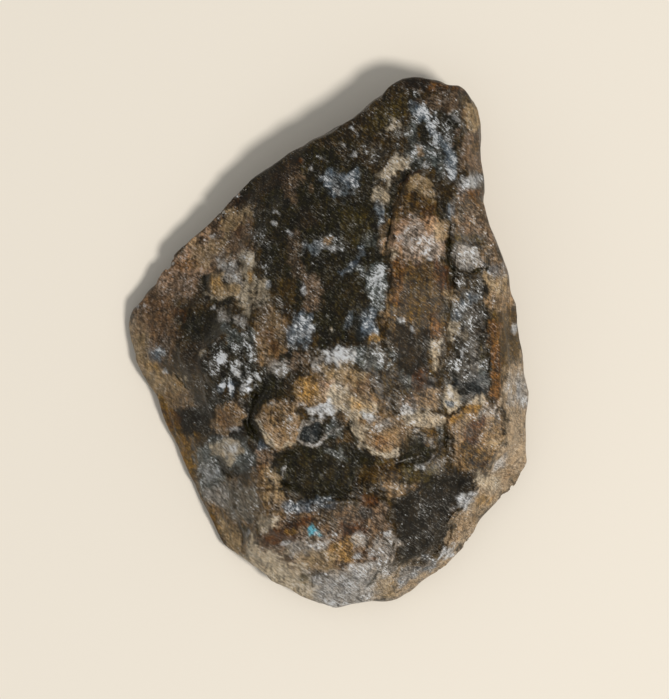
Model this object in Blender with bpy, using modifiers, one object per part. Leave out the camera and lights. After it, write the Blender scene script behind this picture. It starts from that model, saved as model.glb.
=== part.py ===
"""A rough labradorite specimen: one broken, weathered lump of feldspar lying on its flat cleavage face.

The script works in metres with +Z up, and +Y runs along the cleavage grain of the upper face. The origin
is on the resting plane, under the middle of the stone. The tables below are in millimetres.
"""

import math

import bmesh
import bpy
import numpy as np
from mathutils import Vector, noise

MM = 0.001

# Driving dimensions, in millimetres. Length and width are those of OUTLINE, and come out of it.
HEIGHT = 19.2
SCULPT_GRID = 0.5
TRIANGLES = 9000
STONE_COLOUR = (0.105, 0.085, 0.062, 1.0)
STONE_ROUGHNESS = 0.45

# The widest outline of the stone from above, clockwise from the tip.
OUTLINE = (
    (13.3, 37.5), (15.6, 36.8), (17.0, 36.0), (18.9, 36.0), (19.7, 34.8), (21.3, 33.1), (21.5, 31.0),
    (21.4, 29.2), (21.9, 25.9), (22.5, 21.3), (21.9, 20.2), (22.3, 18.2), (23.8, 13.6), (24.5, 11.0),
    (26.9, 5.9), (28.3, 3.2), (28.6, -3.4), (28.7, -7.1), (28.5, -12.0), (28.5, -16.0), (28.0, -18.8),
    (26.2, -21.1), (23.3, -23.5), (21.7, -25.3), (19.4, -29.2), (17.8, -31.4), (12.8, -34.4), (9.8, -36.1),
    (4.1, -36.8), (1.2, -37.5), (-1.1, -37.1), (-2.8, -35.7), (-7.7, -33.4), (-12.2, -30.7), (-14.9, -28.4),
    (-17.6, -23.4), (-21.0, -15.6), (-23.5, -9.9), (-24.3, -7.6), (-25.7, -5.9), (-27.8, -0.5),
    (-28.3, 2.3), (-27.8, 4.9), (-23.8, 9.9), (-17.6, 17.2), (-15.3, 19.3), (-12.6, 22.3), (-8.2, 24.9),
    (-5.4, 27.1), (0.3, 29.7), (3.1, 31.1), (6.9, 34.6), (9.2, 36.0), (11.1, 37.0),
)

# Flat breaks that give the lump its form. Each has the bearing that it faces, in degrees anticlockwise
# from +X, how far it leans up (or, if negative, down) from level, and a point that it passes through.
BREAKS = {
    "upper face": (112, 79, (6.0, 12.0, 17.1)),
    "left face": (172, 70, (-10.0, 4.0, 15.6)),
    "right face": (5, 77, (18.0, 0.0, 16.3)),
    "lower face": (262, 73, (0.0, -14.0, 16.4)),
    "lower right face": (318, 69, (14.0, -18.0, 14.8)),
    "right flank": (2, 26, (28.9, -8.0, 4.8)),
    "lower right flank": (322, 30, (21.3, -26.3, 4.2)),
    "lower flank": (295, 32, (11.4, -35.2, 3.8)),
    "bottom flank": (245, 36, (-5.0, -34.9, 2.8)),
    "lower left flank": (206, 35, (-20.8, -17.0, 1.0)),
    "left corner": (188, 38, (-28.3, 0.0, 0.9)),
    "left slope": (146, 52, (-23.8, 10.0, 3.8)),
    "upper left rim": (127, 40, (-8.2, 25.1, 7.4)),
    "top slope": (120, 67, (3.1, 31.2, 9.0)),
    "top end": (80, 42, (15.6, 37.0, 9.4)),
    "top right corner": (20, 30, (21.6, 31.5, 7.0)),
    "under upper left": (128, -42, (-8.2, 25.1, 5.6)),
    "under top": (85, -38, (15.0, 37.3, 7.4)),
    "under upper right": (12, -32, (23.0, 19.0, 5.4)),
    "under right": (0, -42, (29.0, -10.0, 3.4)),
    "under lower right": (318, -44, (22.5, -25.0, 3.0)),
    "under bottom": (268, -46, (2.0, -37.5, 2.8)),
    "under lower left": (208, -40, (-20.8, -17.0, 0.8)),
    "under left": (184, -40, (-28.4, 1.0, 0.7)),
}

# Sheets of feldspar left standing on the upper face: how far each stands up, and its outline.
PLATES = {
    "grain column": (0.5, (
        (10.9, 23.6), (13.6, 24.3), (15.0, 21.6), (15.9, 16.0), (16.8, 10.3), (17.5, 4.7), (16.9, -0.3),
        (15.9, -6.0), (13.7, -5.4), (10.2, -3.3), (7.9, -0.3), (8.5, 6.1), (8.8, 13.2), (9.2, 18.1),
    )),
    "tip knob": (0.45, ((7.0, 20.6), (8.2, 23.4), (11.2, 24.6), (13.4, 27.6), (10.4, 29.2), (7.0, 26.0))),
    "crest": (0.55, (
        (-5.4, -5.4), (-2.6, -3.6), (-0.4, -1.6), (2.6, -2.2), (4.4, -4.6), (8.0, -8.6), (9.8, -11.0),
        (4.0, -11.6), (1.4, -9.2), (-1.4, -9.0), (-4.4, -9.2),
    )),
    "tongue": (0.6, (
        (2.6, -6.8), (6.2, -9.0), (10.2, -11.0), (14.4, -9.2), (17.2, -9.6), (16.6, -12.4), (12.2, -12.2),
        (10.6, -15.0), (8.2, -16.4), (5.4, -15.2), (3.8, -12.4),
    )),
    "left flake": (0.55, (
        (-10.2, -8.0), (-7.4, -6.8), (-4.2, -8.2), (-3.8, -11.4), (-4.8, -14.4), (-7.0, -15.2),
        (-9.0, -13.8), (-10.4, -11.0),
    )),
    "swirl plate": (0.5, (
        (17.0, -9.2), (18.4, -7.2), (21.0, -6.2), (23.6, -8.2), (25.0, -12.2), (24.0, -16.2), (21.8, -19.0),
        (19.4, -18.6), (17.8, -14.8),
    )),
    "lower plateau": (0.85, (
        (-11.6, -26.4), (-8.6, -24.4), (-4.2, -22.6), (2.4, -21.8), (7.4, -22.6), (9.4, -25.4), (9.8, -30.2),
        (9.4, -34.8), (3.0, -36.4), (-2.0, -34.8), (-8.0, -32.2), (-11.4, -29.6),
    )),
    "lower ledge": (0.5, (
        (4.2, -19.2), (7.0, -18.0), (12.2, -16.8), (13.0, -18.0), (10.8, -20.8), (8.2, -22.0), (5.6, -20.8),
    )),
    "left step": (0.45, ((-17.2, 9.4), (-14.6, 10.2), (-12.0, 9.2), (-11.6, 6.8), (-16.0, 6.6))),
    "left hump": (0.6, (
        (-17.2, 0.6), (-13.2, 2.4), (-10.0, 1.0), (-10.0, -4.6), (-12.0, -6.8), (-16.2, -6.4), (-18.0, -3.0),
    )),
    "left scale": (0.4, ((-14.8, -10.8), (-11.4, -10.4), (-10.9, -14.2), (-12.4, -17.4), (-15.2, -16.2))),
    "brown strip": (0.3, (
        (-12.0, 15.0), (-9.6, 15.6), (-7.6, 6.0), (-5.6, -2.6), (-7.2, -6.2), (-10.0, -4.6), (-11.2, 4.0),
    )),
}

# Places where a sheet has broken away: how deep each is, and its outline.
HOLLOWS = {
    "dark bowl": (1.2, (
        (-8.0, -16.4), (-3.6, -13.6), (-3.8, -10.2), (0.2, -9.8), (3.6, -12.0), (5.2, -15.6), (8.4, -16.8),
        (12.6, -13.8), (16.0, -15.4), (13.0, -17.0), (6.8, -18.4), (4.2, -21.2), (-2.8, -21.6), (-7.2, -20.0),
    )),
    "trough": (1.2, (
        (8.0, -22.4), (11.0, -21.6), (14.0, -18.8), (19.4, -18.8), (20.6, -21.0), (18.2, -25.6),
        (17.6, -29.4), (13.2, -32.0), (10.2, -32.6), (10.0, -27.0),
    )),
    "glass field": (0.45, (
        (-9.0, 21.0), (-1.0, 26.0), (5.6, 24.0), (8.0, 14.0), (7.6, 2.0), (3.0, -0.6), (-3.0, -1.0),
        (-6.4, 5.0), (-8.6, 14.0),
    )),
    "left pool": (0.7, ((-20.6, 4.6), (-16.4, 6.0), (-12.6, 5.6), (-13.6, 2.2), (-17.6, -0.4), (-20.8, 0.0))),
    "slot": (0.35, ((-1.8, 3.4), (0.2, 3.4), (0.4, -1.6), (-1.6, -1.6))),
}

# Open cracks along the grain and between the sheets: how deep and how wide each is, and its line.
CRACKS = {
    "column left": (0.45, 0.8, ((10.6, 22.8), (9.0, 19.6), (8.5, 15.0), (8.3, 11.0))),
    "column right": (0.4, 0.7, (
        (14.6, 24.0), (16.2, 18.0), (17.3, 11.0), (17.7, 3.0), (17.5, -5.0), (17.1, -10.0), (17.9, -18.4),
    )),
    "rim seam": (0.35, 0.8, ((21.6, 15.0), (23.0, 8.0), (23.6, 0.0), (23.8, -7.4))),
    "behind hump": (0.8, 1.2, ((-9.2, -5.8), (-11.4, -8.2), (-11.0, -12.0), (-9.0, -15.0))),
    "above tongue": (0.3, 0.8, ((6.8, -7.4), (8.2, -9.6), (10.6, -10.6))),
    "lower left crescent": (0.5, 0.9, ((-15.3, -16.8), (-15.0, -19.0), (-14.0, -21.2), (-12.4, -23.0))),
}

# Sheets missing from the underside: how far the break stands clear of the ground, and its outline.
CLEARANCES = {
    "upper left": (1.5, (
        (-27.0, 9.0), (-21.0, 5.5), (-14.0, 6.5), (-9.0, 12.0), (-7.0, 17.0), (-13.0, 26.0), (-30.0, 16.0),
    )),
    "inner left": (0.6, (
        (-19.0, 6.0), (-13.0, 1.0), (-6.0, 3.0), (-1.0, 13.0), (-4.0, 24.0), (-14.0, 22.0),
    )),
    "tip": (1.1, ((0.0, 42.0), (3.0, 31.0), (9.0, 25.5), (13.0, 26.5), (16.5, 33.0), (17.0, 42.0))),
    "lower right": (1.8, (
        (32.0, -9.0), (21.0, -11.0), (15.0, -19.0), (12.5, -26.0), (17.0, -36.0), (32.0, -26.0),
    )),
    "bottom": (0.9, (
        (-9.5, -32.5), (-7.0, -28.0), (-2.5, -26.0), (2.5, -29.0), (4.0, -40.0), (-9.0, -40.0),
    )),
}

# The edge of a sheet: where it starts outside its outline, and where it is whole, inside it.
PLATE_EDGE = (-0.25, 0.35)
HOLLOW_EDGE = (-0.2, 1.6)
CLEARANCE_EDGE = (-0.2, 0.5)

# Wear and breakage: the size of each kind of unevenness, and how far it reaches.
LUMPS = ((9.0, 0.5), (3.2, 0.22))
RAGGED_SIZE, RAGGED_REACH = 2.6, 0.55
UNEVEN_SIZE, UNEVEN_SHARE = 6.0, 0.45

# Cleavage sheets that step the flanks, how they dip along X and Y, and how patchy the steps are.
SHEET_THICKNESS = 3.1
SHEET_STEP = 0.75
SHEET_DIP = (0.16, -0.09)
SHEET_BEND_SIZE, SHEET_BEND = 13.0, 0.8
PATCH_SIZE = 8.0
PATCH_EDGE = (-0.25, 0.35)
STEP_EDGE = (0.0, 0.3)

# How far up or down a surface faces, from where its carving starts to where it is whole.
UPPER_FACING = (0.35, 0.8)
LOWER_FACING = (0.2, 0.7)
LEVEL_FACING = (0.55, 0.85)

# The resting face stays flat. The wear starts and is whole at these heights above it.
REST_DEPTH = 0.3
WEAR_STARTS = (0.2, 1.2)
REST_SNAP = 0.06


def clear_scene():
    for thing in list(bpy.data.objects):
        bpy.data.objects.remove(thing)


def in_order(mesh):
    """The same mesh with its corners and faces listed by place, so that each build comes out the same."""
    points = np.round(read_points(mesh), 4)
    order = np.lexsort(points.T[::-1])
    rank = np.empty(len(order), int)
    rank[order] = np.arange(len(order))
    faces = []
    for face in mesh.polygons:
        ring = [int(rank[corner]) for corner in face.vertices]
        first = ring.index(min(ring))
        faces.append(ring[first:] + ring[:first])
    ordered = bpy.data.meshes.new("labradorite_stone")
    ordered.from_pydata((points[order] * MM).tolist(), [], sorted(faces))
    return ordered


def broken_prism():
    """The outline raised to full height, with a flat face cut for each break."""
    shape = bmesh.new()
    ring = [shape.verts.new((x * MM, y * MM, 0.0)) for x, y in OUTLINE]
    base = shape.faces.new(ring)
    grown = bmesh.ops.extrude_face_region(shape, geom=[base])["geom"]
    lifted = [v for v in grown if isinstance(v, bmesh.types.BMVert)]
    bmesh.ops.translate(shape, verts=lifted, vec=(0.0, 0.0, HEIGHT * MM))
    for bearing, lean, point in BREAKS.values():
        across, up = math.radians(bearing), math.radians(lean)
        facing = Vector((math.cos(up) * math.cos(across), math.cos(up) * math.sin(across), math.sin(up)))
        everything = shape.verts[:] + shape.edges[:] + shape.faces[:]
        bmesh.ops.bisect_plane(
            shape, geom=everything, plane_co=Vector(point) * MM, plane_no=facing, clear_outer=True
        )
        open_edges = [e for e in shape.edges if e.is_boundary]
        bmesh.ops.holes_fill(shape, edges=open_edges, sides=0)
    bmesh.ops.recalc_face_normals(shape, faces=shape.faces[:])
    mesh = bpy.data.meshes.new("labradorite_stone")
    shape.to_mesh(mesh)
    shape.free()
    return in_order(mesh)


def as_modified(thing, kind, **settings):
    """Gives the object the mesh that a modifier makes of it."""
    modifier = thing.modifiers.new(kind.title(), kind)
    for name, value in settings.items():
        setattr(modifier, name, value)
    graph = bpy.context.evaluated_depsgraph_get()
    made = bpy.data.meshes.new_from_object(thing.evaluated_get(graph))
    thing.modifiers.remove(modifier)
    thing.data = made


def read_points(mesh):
    points = np.empty(len(mesh.vertices) * 3)
    mesh.vertices.foreach_get("co", points)
    return points.reshape(-1, 3) / MM


def read_normals(mesh):
    normals = np.empty(len(mesh.vertices) * 3, np.float32)
    mesh.vertex_normals.foreach_get("vector", normals)
    return normals.reshape(-1, 3).astype(float)


def write_points(mesh, points):
    mesh.vertices.foreach_set("co", (points * MM).astype(np.float32).ravel())
    mesh.update()


def smooth_step(value, low, high):
    share = np.clip((value - low) / (high - low), 0.0, 1.0)
    return share * share * (3.0 - 2.0 * share)


def noise_at(points, size, seed):
    """Smooth noise from about -1 to 1, whose lumps are that many millimetres across."""
    start = Vector((seed * 17.3, seed * 5.1, seed * 29.7))
    return np.array([noise.noise(Vector(p) / size + start) for p in points])


def distance_to_line(flat, line, closed):
    """How far each point lies from a line of straight stretches."""
    start = np.array(line, float)
    end = np.roll(start, -1, axis=0)
    if not closed:
        start, end = start[:-1], end[:-1]
    along = end - start
    away = flat[:, None] - start
    share = np.clip((away * along).sum(2) / (along**2).sum(1), 0.0, 1.0)
    return np.linalg.norm(away - share[..., None] * along, axis=2).min(1)


def depth_inside(flat, outline):
    """How far each point lies inside an outline, and, as a negative number, outside it."""
    start = np.array(outline, float)
    end = np.roll(start, -1, axis=0)
    x, y = flat[:, :1], flat[:, 1:]
    straddles = (start[:, 1] > y) != (end[:, 1] > y)
    rise = np.where(end[:, 1] == start[:, 1], 1.0, end[:, 1] - start[:, 1])
    crossing = start[:, 0] + (end[:, 0] - start[:, 0]) * (y - start[:, 1]) / rise
    inside = (straddles & (x < crossing)).sum(1) % 2 == 1
    gap = distance_to_line(flat, outline, closed=True)
    return np.where(inside, gap, -gap)


def ragged(points):
    """The points' places from above, shifted by noise, so that outlines read from them are ragged."""
    shift = np.stack([noise_at(points, RAGGED_SIZE, seed) for seed in (1, 2)], axis=1)
    return points[:, :2] + RAGGED_REACH * shift


def uneven(points, seed):
    """A share around one, by which the height of a sheet varies over its length."""
    return 1.0 + UNEVEN_SHARE * noise_at(points, UNEVEN_SIZE, seed)


def upper_relief(points):
    """How far the plates, hollows and cracks move each point of the upper face up."""
    flat = ragged(points)
    rise = np.zeros(len(points))
    for depth, outline in HOLLOWS.values():
        rise -= depth * smooth_step(depth_inside(flat, outline), *HOLLOW_EDGE)
    for height, outline in PLATES.values():
        rise += height * smooth_step(depth_inside(flat, outline), *PLATE_EDGE)
    for depth, width, line in CRACKS.values():
        rise -= depth * smooth_step(-distance_to_line(flat, line, closed=False), -width, 0.0)
    return rise * uneven(points, 7)


def lower_relief(points):
    """How far the missing sheets raise each point of the face that the stone rests on."""
    flat = ragged(points)
    rise = np.zeros(len(points))
    for clearance, outline in CLEARANCES.values():
        rise = np.maximum(rise, clearance * smooth_step(depth_inside(flat, outline), *CLEARANCE_EDGE))
    return rise * uneven(points, 8)


def flank_steps(points):
    """How far out each point of a flank stands, where whole sheets end one above the other."""
    dipped = points[:, 2] + points[:, :2] @ np.array(SHEET_DIP)
    level = dipped / SHEET_THICKNESS + SHEET_BEND * noise_at(points, SHEET_BEND_SIZE, 3)
    share = level - np.floor(level)
    patches = smooth_step(noise_at(points, PATCH_SIZE, 4), *PATCH_EDGE)
    return SHEET_STEP * patches * (smooth_step(share, *STEP_EDGE) - share)


def sculpt(mesh):
    """Wears the breaks into lumps, steps the flanks and carves the upper face and the underside."""
    points, normals = read_points(mesh), read_normals(mesh)
    facing_up = normals[:, 2]
    shift = np.zeros_like(points)
    for seed, (size, reach) in enumerate(LUMPS, start=5):
        shift += normals * (reach * noise_at(points, size, seed))[:, None]
    shift[:, 2] += smooth_step(facing_up, *UPPER_FACING) * upper_relief(points)
    steep = 1.0 - smooth_step(np.abs(facing_up), *LEVEL_FACING)
    shift[:, :2] += normals[:, :2] * (steep * flank_steps(points))[:, None]
    moved = points + shift * smooth_step(points[:, 2], *WEAR_STARTS)[:, None]
    moved[(points[:, 2] < REST_DEPTH) & (facing_up < 0.0), 2] = 0.0
    moved[:, 2] = np.maximum(moved[:, 2], 0.0)
    moved[:, 2] += smooth_step(-facing_up, *LOWER_FACING) * lower_relief(points)
    write_points(mesh, moved)


def settle(mesh):
    """Sets the stone down flat, with the middle of its length and width over the origin."""
    points = read_points(mesh)
    points[:, :2] -= (points[:, :2].min(0) + points[:, :2].max(0)) / 2.0
    points[points[:, 2] < REST_SNAP, 2] = 0.0
    write_points(mesh, points)


def stone_material():
    material = bpy.data.materials.new("rough_labradorite")
    material.use_nodes = True
    shader = material.node_tree.nodes["Principled BSDF"]
    shader.inputs["Base Color"].default_value = STONE_COLOUR
    shader.inputs["Roughness"].default_value = STONE_ROUGHNESS
    shader.inputs["Metallic"].default_value = 0.0
    return material


def make_stone(collection):
    stone = bpy.data.objects.new("labradorite_stone", broken_prism())
    collection.objects.link(stone)
    as_modified(stone, "REMESH", mode="VOXEL", voxel_size=SCULPT_GRID * MM)
    sculpt(stone.data)
    now = sum(len(face.vertices) - 2 for face in stone.data.polygons)
    as_modified(stone, "DECIMATE", ratio=TRIANGLES / now)
    settle(stone.data)
    stone.data.name = "labradorite_stone"
    stone.data.materials.append(stone_material())
    stone.data.shade_flat()
    return stone


def main():
    clear_scene()
    collection = bpy.data.collections.new("labradorite specimen")
    bpy.context.scene.collection.children.link(collection)
    make_stone(collection)


main()
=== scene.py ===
"""The looks of a rough labradorite specimen, around its CAD solid.

Lengths in the tables are in millimetres, in the frame of the CAD part: +X right and +Y up as the
stone is seen from above, with the origin on the ground under its middle.
"""

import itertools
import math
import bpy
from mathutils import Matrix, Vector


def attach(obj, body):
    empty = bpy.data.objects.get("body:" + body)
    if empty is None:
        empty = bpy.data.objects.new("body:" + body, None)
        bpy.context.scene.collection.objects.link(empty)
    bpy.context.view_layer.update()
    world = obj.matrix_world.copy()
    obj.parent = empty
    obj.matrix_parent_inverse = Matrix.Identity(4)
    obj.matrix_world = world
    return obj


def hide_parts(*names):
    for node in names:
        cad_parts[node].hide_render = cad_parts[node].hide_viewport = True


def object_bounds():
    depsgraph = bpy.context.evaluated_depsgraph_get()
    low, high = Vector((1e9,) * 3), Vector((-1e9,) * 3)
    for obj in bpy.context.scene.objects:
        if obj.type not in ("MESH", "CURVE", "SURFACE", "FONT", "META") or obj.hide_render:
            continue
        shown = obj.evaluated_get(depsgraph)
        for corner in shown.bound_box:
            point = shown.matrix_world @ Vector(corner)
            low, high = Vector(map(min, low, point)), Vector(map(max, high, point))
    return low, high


bl_info = {
    "name": "Rough labradorite specimen",
    "version": (1, 0, 0),
    "blender": (4, 5, 0),
    "location": "3D View > Sidebar > Labradorite",
    "description": "Carves and finishes a broken, weathered piece of labradorite",
    "category": "Add Mesh",
}

import bpy
import numpy as np
from bpy.props import FloatProperty, FloatVectorProperty, IntProperty, PointerProperty
from mathutils import Vector

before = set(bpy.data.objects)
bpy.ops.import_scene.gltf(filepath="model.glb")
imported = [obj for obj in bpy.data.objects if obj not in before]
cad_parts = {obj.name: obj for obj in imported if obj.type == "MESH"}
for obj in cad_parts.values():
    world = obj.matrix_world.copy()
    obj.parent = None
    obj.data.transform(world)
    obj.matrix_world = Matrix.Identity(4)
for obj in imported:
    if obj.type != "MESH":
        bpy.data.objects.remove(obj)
CAD_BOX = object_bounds()

MM = 0.001
CAD_NODE = "labradorite_stone"
PIECE = "rough_labradorite"

# The upper face was read from above, from this place and height, so higher places look larger.
EYE = (0.92, -0.92)
EYE_HEIGHT = 608.0
READ_HEIGHT = 8.0

# Crisp edges of broken sheets: how high each stands, and its line, with the high side on the left hand
# of someone who walks along it.
LIPS = (
    # The grain column and what stands beside it
    (0.34, ((13.5, 23.8), (12.5, 24), (11, 23.7), (10.2, 22.6), (9.6, 20), (9.2, 17.6), (8.9, 13.2),
        (8.6, 9), (8.5, 4))),
    (0.3, ((17, 0.5), (17.1, 4), (17.4, 7.5), (16.8, 11), (16.6, 15), (15.6, 17), (15, 21.6), (14.2, 23.2))),
    (0.35, ((18.3, 13.9), (18.3, 11.5), (19, 10.1), (20.5, 10.5), (21.8, 10.8))),
    (0.3, ((14.1, 0.8), (14.2, 0), (14.5, -2), (14.8, -3.8), (15.2, -4), (15.6, -3), (16, -1.5),
        (15.9, 0.4))),
    (0.25, ((14.9, 4.4), (14.6, 3), (14.7, 0.8))),
    (0.3, ((5.4, 11.2), (4.6, 10.3), (5, 7.5), (6.2, 4.8), (8, 5))),
    (0.25, ((22, 14.5), (22, 9), (22.4, 3), (22.7, -3), (22.6, -7.6))),
    # The tip
    (0.3, ((11.2, 24.2), (10, 22.8), (8, 23.2), (8.2, 26.4), (10.2, 27.2))),
    (0.3, ((20.8, 33.8), (19, 34), (19.2, 31.5), (19.8, 30.2), (21.6, 30.4))),
    (0.25, ((13.5, 28.4), (12.4, 28.3), (12.4, 26.4), (13.6, 26.2))),
    # The left slope
    (0.45, ((-16.6, 9.8), (-17, 9.2), (-17, 7.2), (-15.3, 6.5), (-14.3, 6.7), (-12.6, 7.1))),
    (0.35, ((-11.4, 19.6), (-12.5, 18.7), (-14.3, 18.1), (-15, 16.5), (-14.5, 15.5), (-13, 16.3),
        (-12, 17.5), (-11, 18.2))),
    (0.25, ((-15.4, 15.2), (-16.8, 14.3), (-16.3, 12.8), (-15, 13.3), (-13.8, 15.3))),
    (0.3, ((-12.2, 12.8), (-12.2, 8), (-12, 4), (-11, 1), (-10.2, -3.2))),
    (0.3, ((-21.4, -4), (-23, -4.5), (-23.6, -7.5), (-22.3, -9.3), (-21, -9.5), (-18.6, -8.9))),
    # The flake, the crest and the tongue
    (0.4, ((-8.9, -8.4), (-9.3, -8.8), (-10, -11), (-9, -12), (-8.5, -13.2), (-7.8, -14.5), (-7.3, -15.3),
        (-6, -15), (-4.6, -14.6), (-4.1, -13.5), (-3.9, -12), (-4.3, -10.4))),
    (0.42, ((2.8, -9.4), (3, -10.5), (3.3, -12), (3.7, -13.3), (4.3, -14.3), (5, -15), (6.2, -15.5),
        (7.2, -16), (8.2, -16.3), (9.4, -16.1), (10, -15.3), (10.6, -13.6))),
    (0.35, ((11, -11.6), (12.2, -11.7), (13.2, -12.1), (14.3, -11.9), (16, -11.6), (16.6, -10.6))),
    (0.3, ((4.2, -10.2), (5.4, -10.6), (6.4, -10.8), (7.6, -10.5), (9.4, -9.8))),
    (0.3, ((-4.2, -9.6), (-2.2, -10.2), (0.4, -10.3), (1.2, -9.9), (2.6, -9.6))),
    (0.35, ((-13.3, -8.3), (-15, -9.2), (-16, -9.5), (-15.9, -10.5), (-16.3, -12), (-15.5, -13),
        (-14.3, -13), (-13.3, -12.2), (-12.2, -11.6))),
    (0.35, ((-13.6, -13.9), (-15, -14.8), (-16, -15.2), (-15.2, -15.8), (-14.5, -16.3), (-13.7, -16.7),
        (-13, -16), (-12.5, -15))),
    # The swirl plate
    (0.3, ((20.2, -8.4), (18.8, -9.2), (17.6, -10), (16.9, -10.3), (17, -12.5), (17.6, -14), (18, -15.5),
        (18, -17.5), (19, -18.5), (20.5, -19.3), (22, -18.9))),
    (0.3, ((17.4, -6.5), (16.6, -6.8), (16.6, -9), (17.2, -9.6), (18.2, -9.2), (18.8, -8.4))),
    # The lower plateau, its ledge and the trough
    (0.45, ((9.2, -35), (9.8, -31.5), (9.7, -26.5), (8.2, -24.2), (7.2, -22.2), (5.8, -21.6))),
    (0.15, ((6, -21.7), (4.4, -21.6), (0.5, -22.2), (-4.2, -22.9), (-8, -24.4), (-10.6, -26.4))),
    (0.35, ((4.4, -18.2), (4.4, -19.4), (5.4, -20.6), (7.6, -21), (9.8, -22.2), (12.4, -20.6),
        (13.4, -18.2))),
    (0.5, ((19, -19), (20.3, -20.2), (20, -21.5), (18.8, -23.5), (17.3, -24.3), (17, -25), (17.2, -26.5),
        (16.7, -28.5), (15.8, -29.3), (14.5, -30))),
    (0.3, ((7.9, -31.2), (6, -31), (4, -31.2), (2, -31.5), (0, -32.5), (-2.2, -32.2), (-2.3, -33.5),
        (-1.9, -35.6))),
    (0.25, ((-2, -24.6), (-4.8, -25.1), (-7, -26.2), (-9.1, -27.4))),
    (0.3, ((-15.4, -23.8), (-15.8, -24.6), (-15, -27.3), (-14, -28.8), (-12.8, -29.9))),
)

# Places where a small chip is gone: how deep each is, and its outline.
CHIPS = (
    (0.3, ((-15.4, -16), (-14.6, -16.3), (-14, -17.5), (-13.5, -18.5), (-13.3, -19.3), (-14.3, -19),
        (-15.1, -18), (-15.5, -17))),
    (0.3, ((-12.6, -25.3), (-11.5, -26), (-11.2, -27), (-12, -28), (-12.4, -28.8), (-12.2, -27))),
    (0.3, ((-1.8, 2.6), (-0.4, 2.8), (-0.1, 0.4), (-0.4, -1), (-1.6, -0.8), (-1.9, 1))),
    (0.25, ((-3.4, -11.2), (-1.3, -11.1), (-1, -12), (-1.2, -13.5), (-2, -14), (-3.5, -13.7),
        (-3.6, -12.5))),
)

# Open cracks: how deep each is, how far it reaches to each side of its line, and the line.
CRACKS = (
    (0.3, 0.25, ((10.8, 23.8), (10, 20.4), (9, 17.8), (8.6, 14.8))),
    (0.35, 0.35, ((17.4, 16.5), (17.2, 14.8), (17.6, 11), (18, 9.6), (17.8, 6.6))),
    (0.35, 0.3, ((16.6, -10.6), (16.6, -12.6), (16.8, -14.8))),
    (0.25, 0.25, ((20.4, 10.3), (22.4, 10.5))),
    (0.4, 0.7, ((-10.2, -7.4), (-11, -9), (-11.3, -11.4), (-10.5, -13))),
    (0.3, 0.25, ((-21.4, -4.4), (-20.2, -6.4))),
    (0.25, 0.2, ((5.2, -29.8), (6.5, -30.8), (7.3, -32.5), (5.4, -34.3))),
)

# The finishes: the colour of each, how rough it is, how thickly flecks cover it, and how strongly the
# patterns inside the stone show on it. Flecks are pale bruised strokes and painted glints. The last two also
# shape the relief: flecks make a break crumbly, and grain gives it lines.
FINISHES = {
    "glass": ("#191605", 0.28, 0.17, 1.0),
    "hollow": ("#16120a", 0.7, 0.22, 0.8),
    "smoke": ("#2f230b", 0.34, 0.26, 1.0),
    "umber": ("#21160a", 0.5, 0.14, 1.0),
    "olive": ("#3a310e", 0.34, 0.2, 0.9),
    "brown": ("#4b3818", 0.5, 0.2, 1.0),
    "slate": ("#1e2326", 0.3, 0.2, 0.6),
    "hackle": ("#19170d", 0.3, 0.46, 0.9),
    # A painted sheen: bluish grey gloss painted into the colour, with glints thick on it.
    "painted_grey_sheen": ("#434a4b", 0.32, 0.56, 0.8),
    # A painted sheen: bluish gloss of the cleavage painted into the colour, with glints thick on it.
    "painted_blue_sheen": ("#4f5b68", 0.38, 0.56, 0.8),
    "mauve": ("#614f3e", 0.52, 0.3, 0.9),
    "blush": ("#92765e", 0.54, 0.36, 0.8),
    "lilac": ("#7d7975", 0.5, 0.46, 0.75),
    # Partly pale bruised crust and partly painted glints, highlights painted into the colour.
    "white_crust_and_glint": ("#93969b", 0.5, 0.54, 0.6),
    "cream": ("#998e7c", 0.54, 0.36, 0.6),
    "beige": ("#857255", 0.54, 0.32, 0.65),
    # Khaki's deep yellow is partly painted yellow bounce light.
    "khaki": ("#43320f", 0.52, 0.16, 0.8),
    "tan": ("#745f45", 0.5, 0.32, 0.8),
    "honey": ("#8b6c38", 0.5, 0.24, 0.8),
    "ochre": ("#75571f", 0.52, 0.12, 0.8),
    "amber": ("#5b3d1a", 0.5, 0.2, 0.9),
    "rust": ("#3e240b", 0.5, 0.14, 0.9),
    # A painted sheen: the blue play of colour that labradorite shows only at some angles, painted into the
    # colour.
    "painted_flash": ("#58a4bc", 0.3, 0.4, 0.4),
    # A painted highlight: bright bluish glints painted into the colour.
    "painted_glint": ("#c9d2e2", 0.2, 0.9, 0.3),
    "rim": ("#91806a", 0.5, 0.24, 0.5),
}
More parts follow.
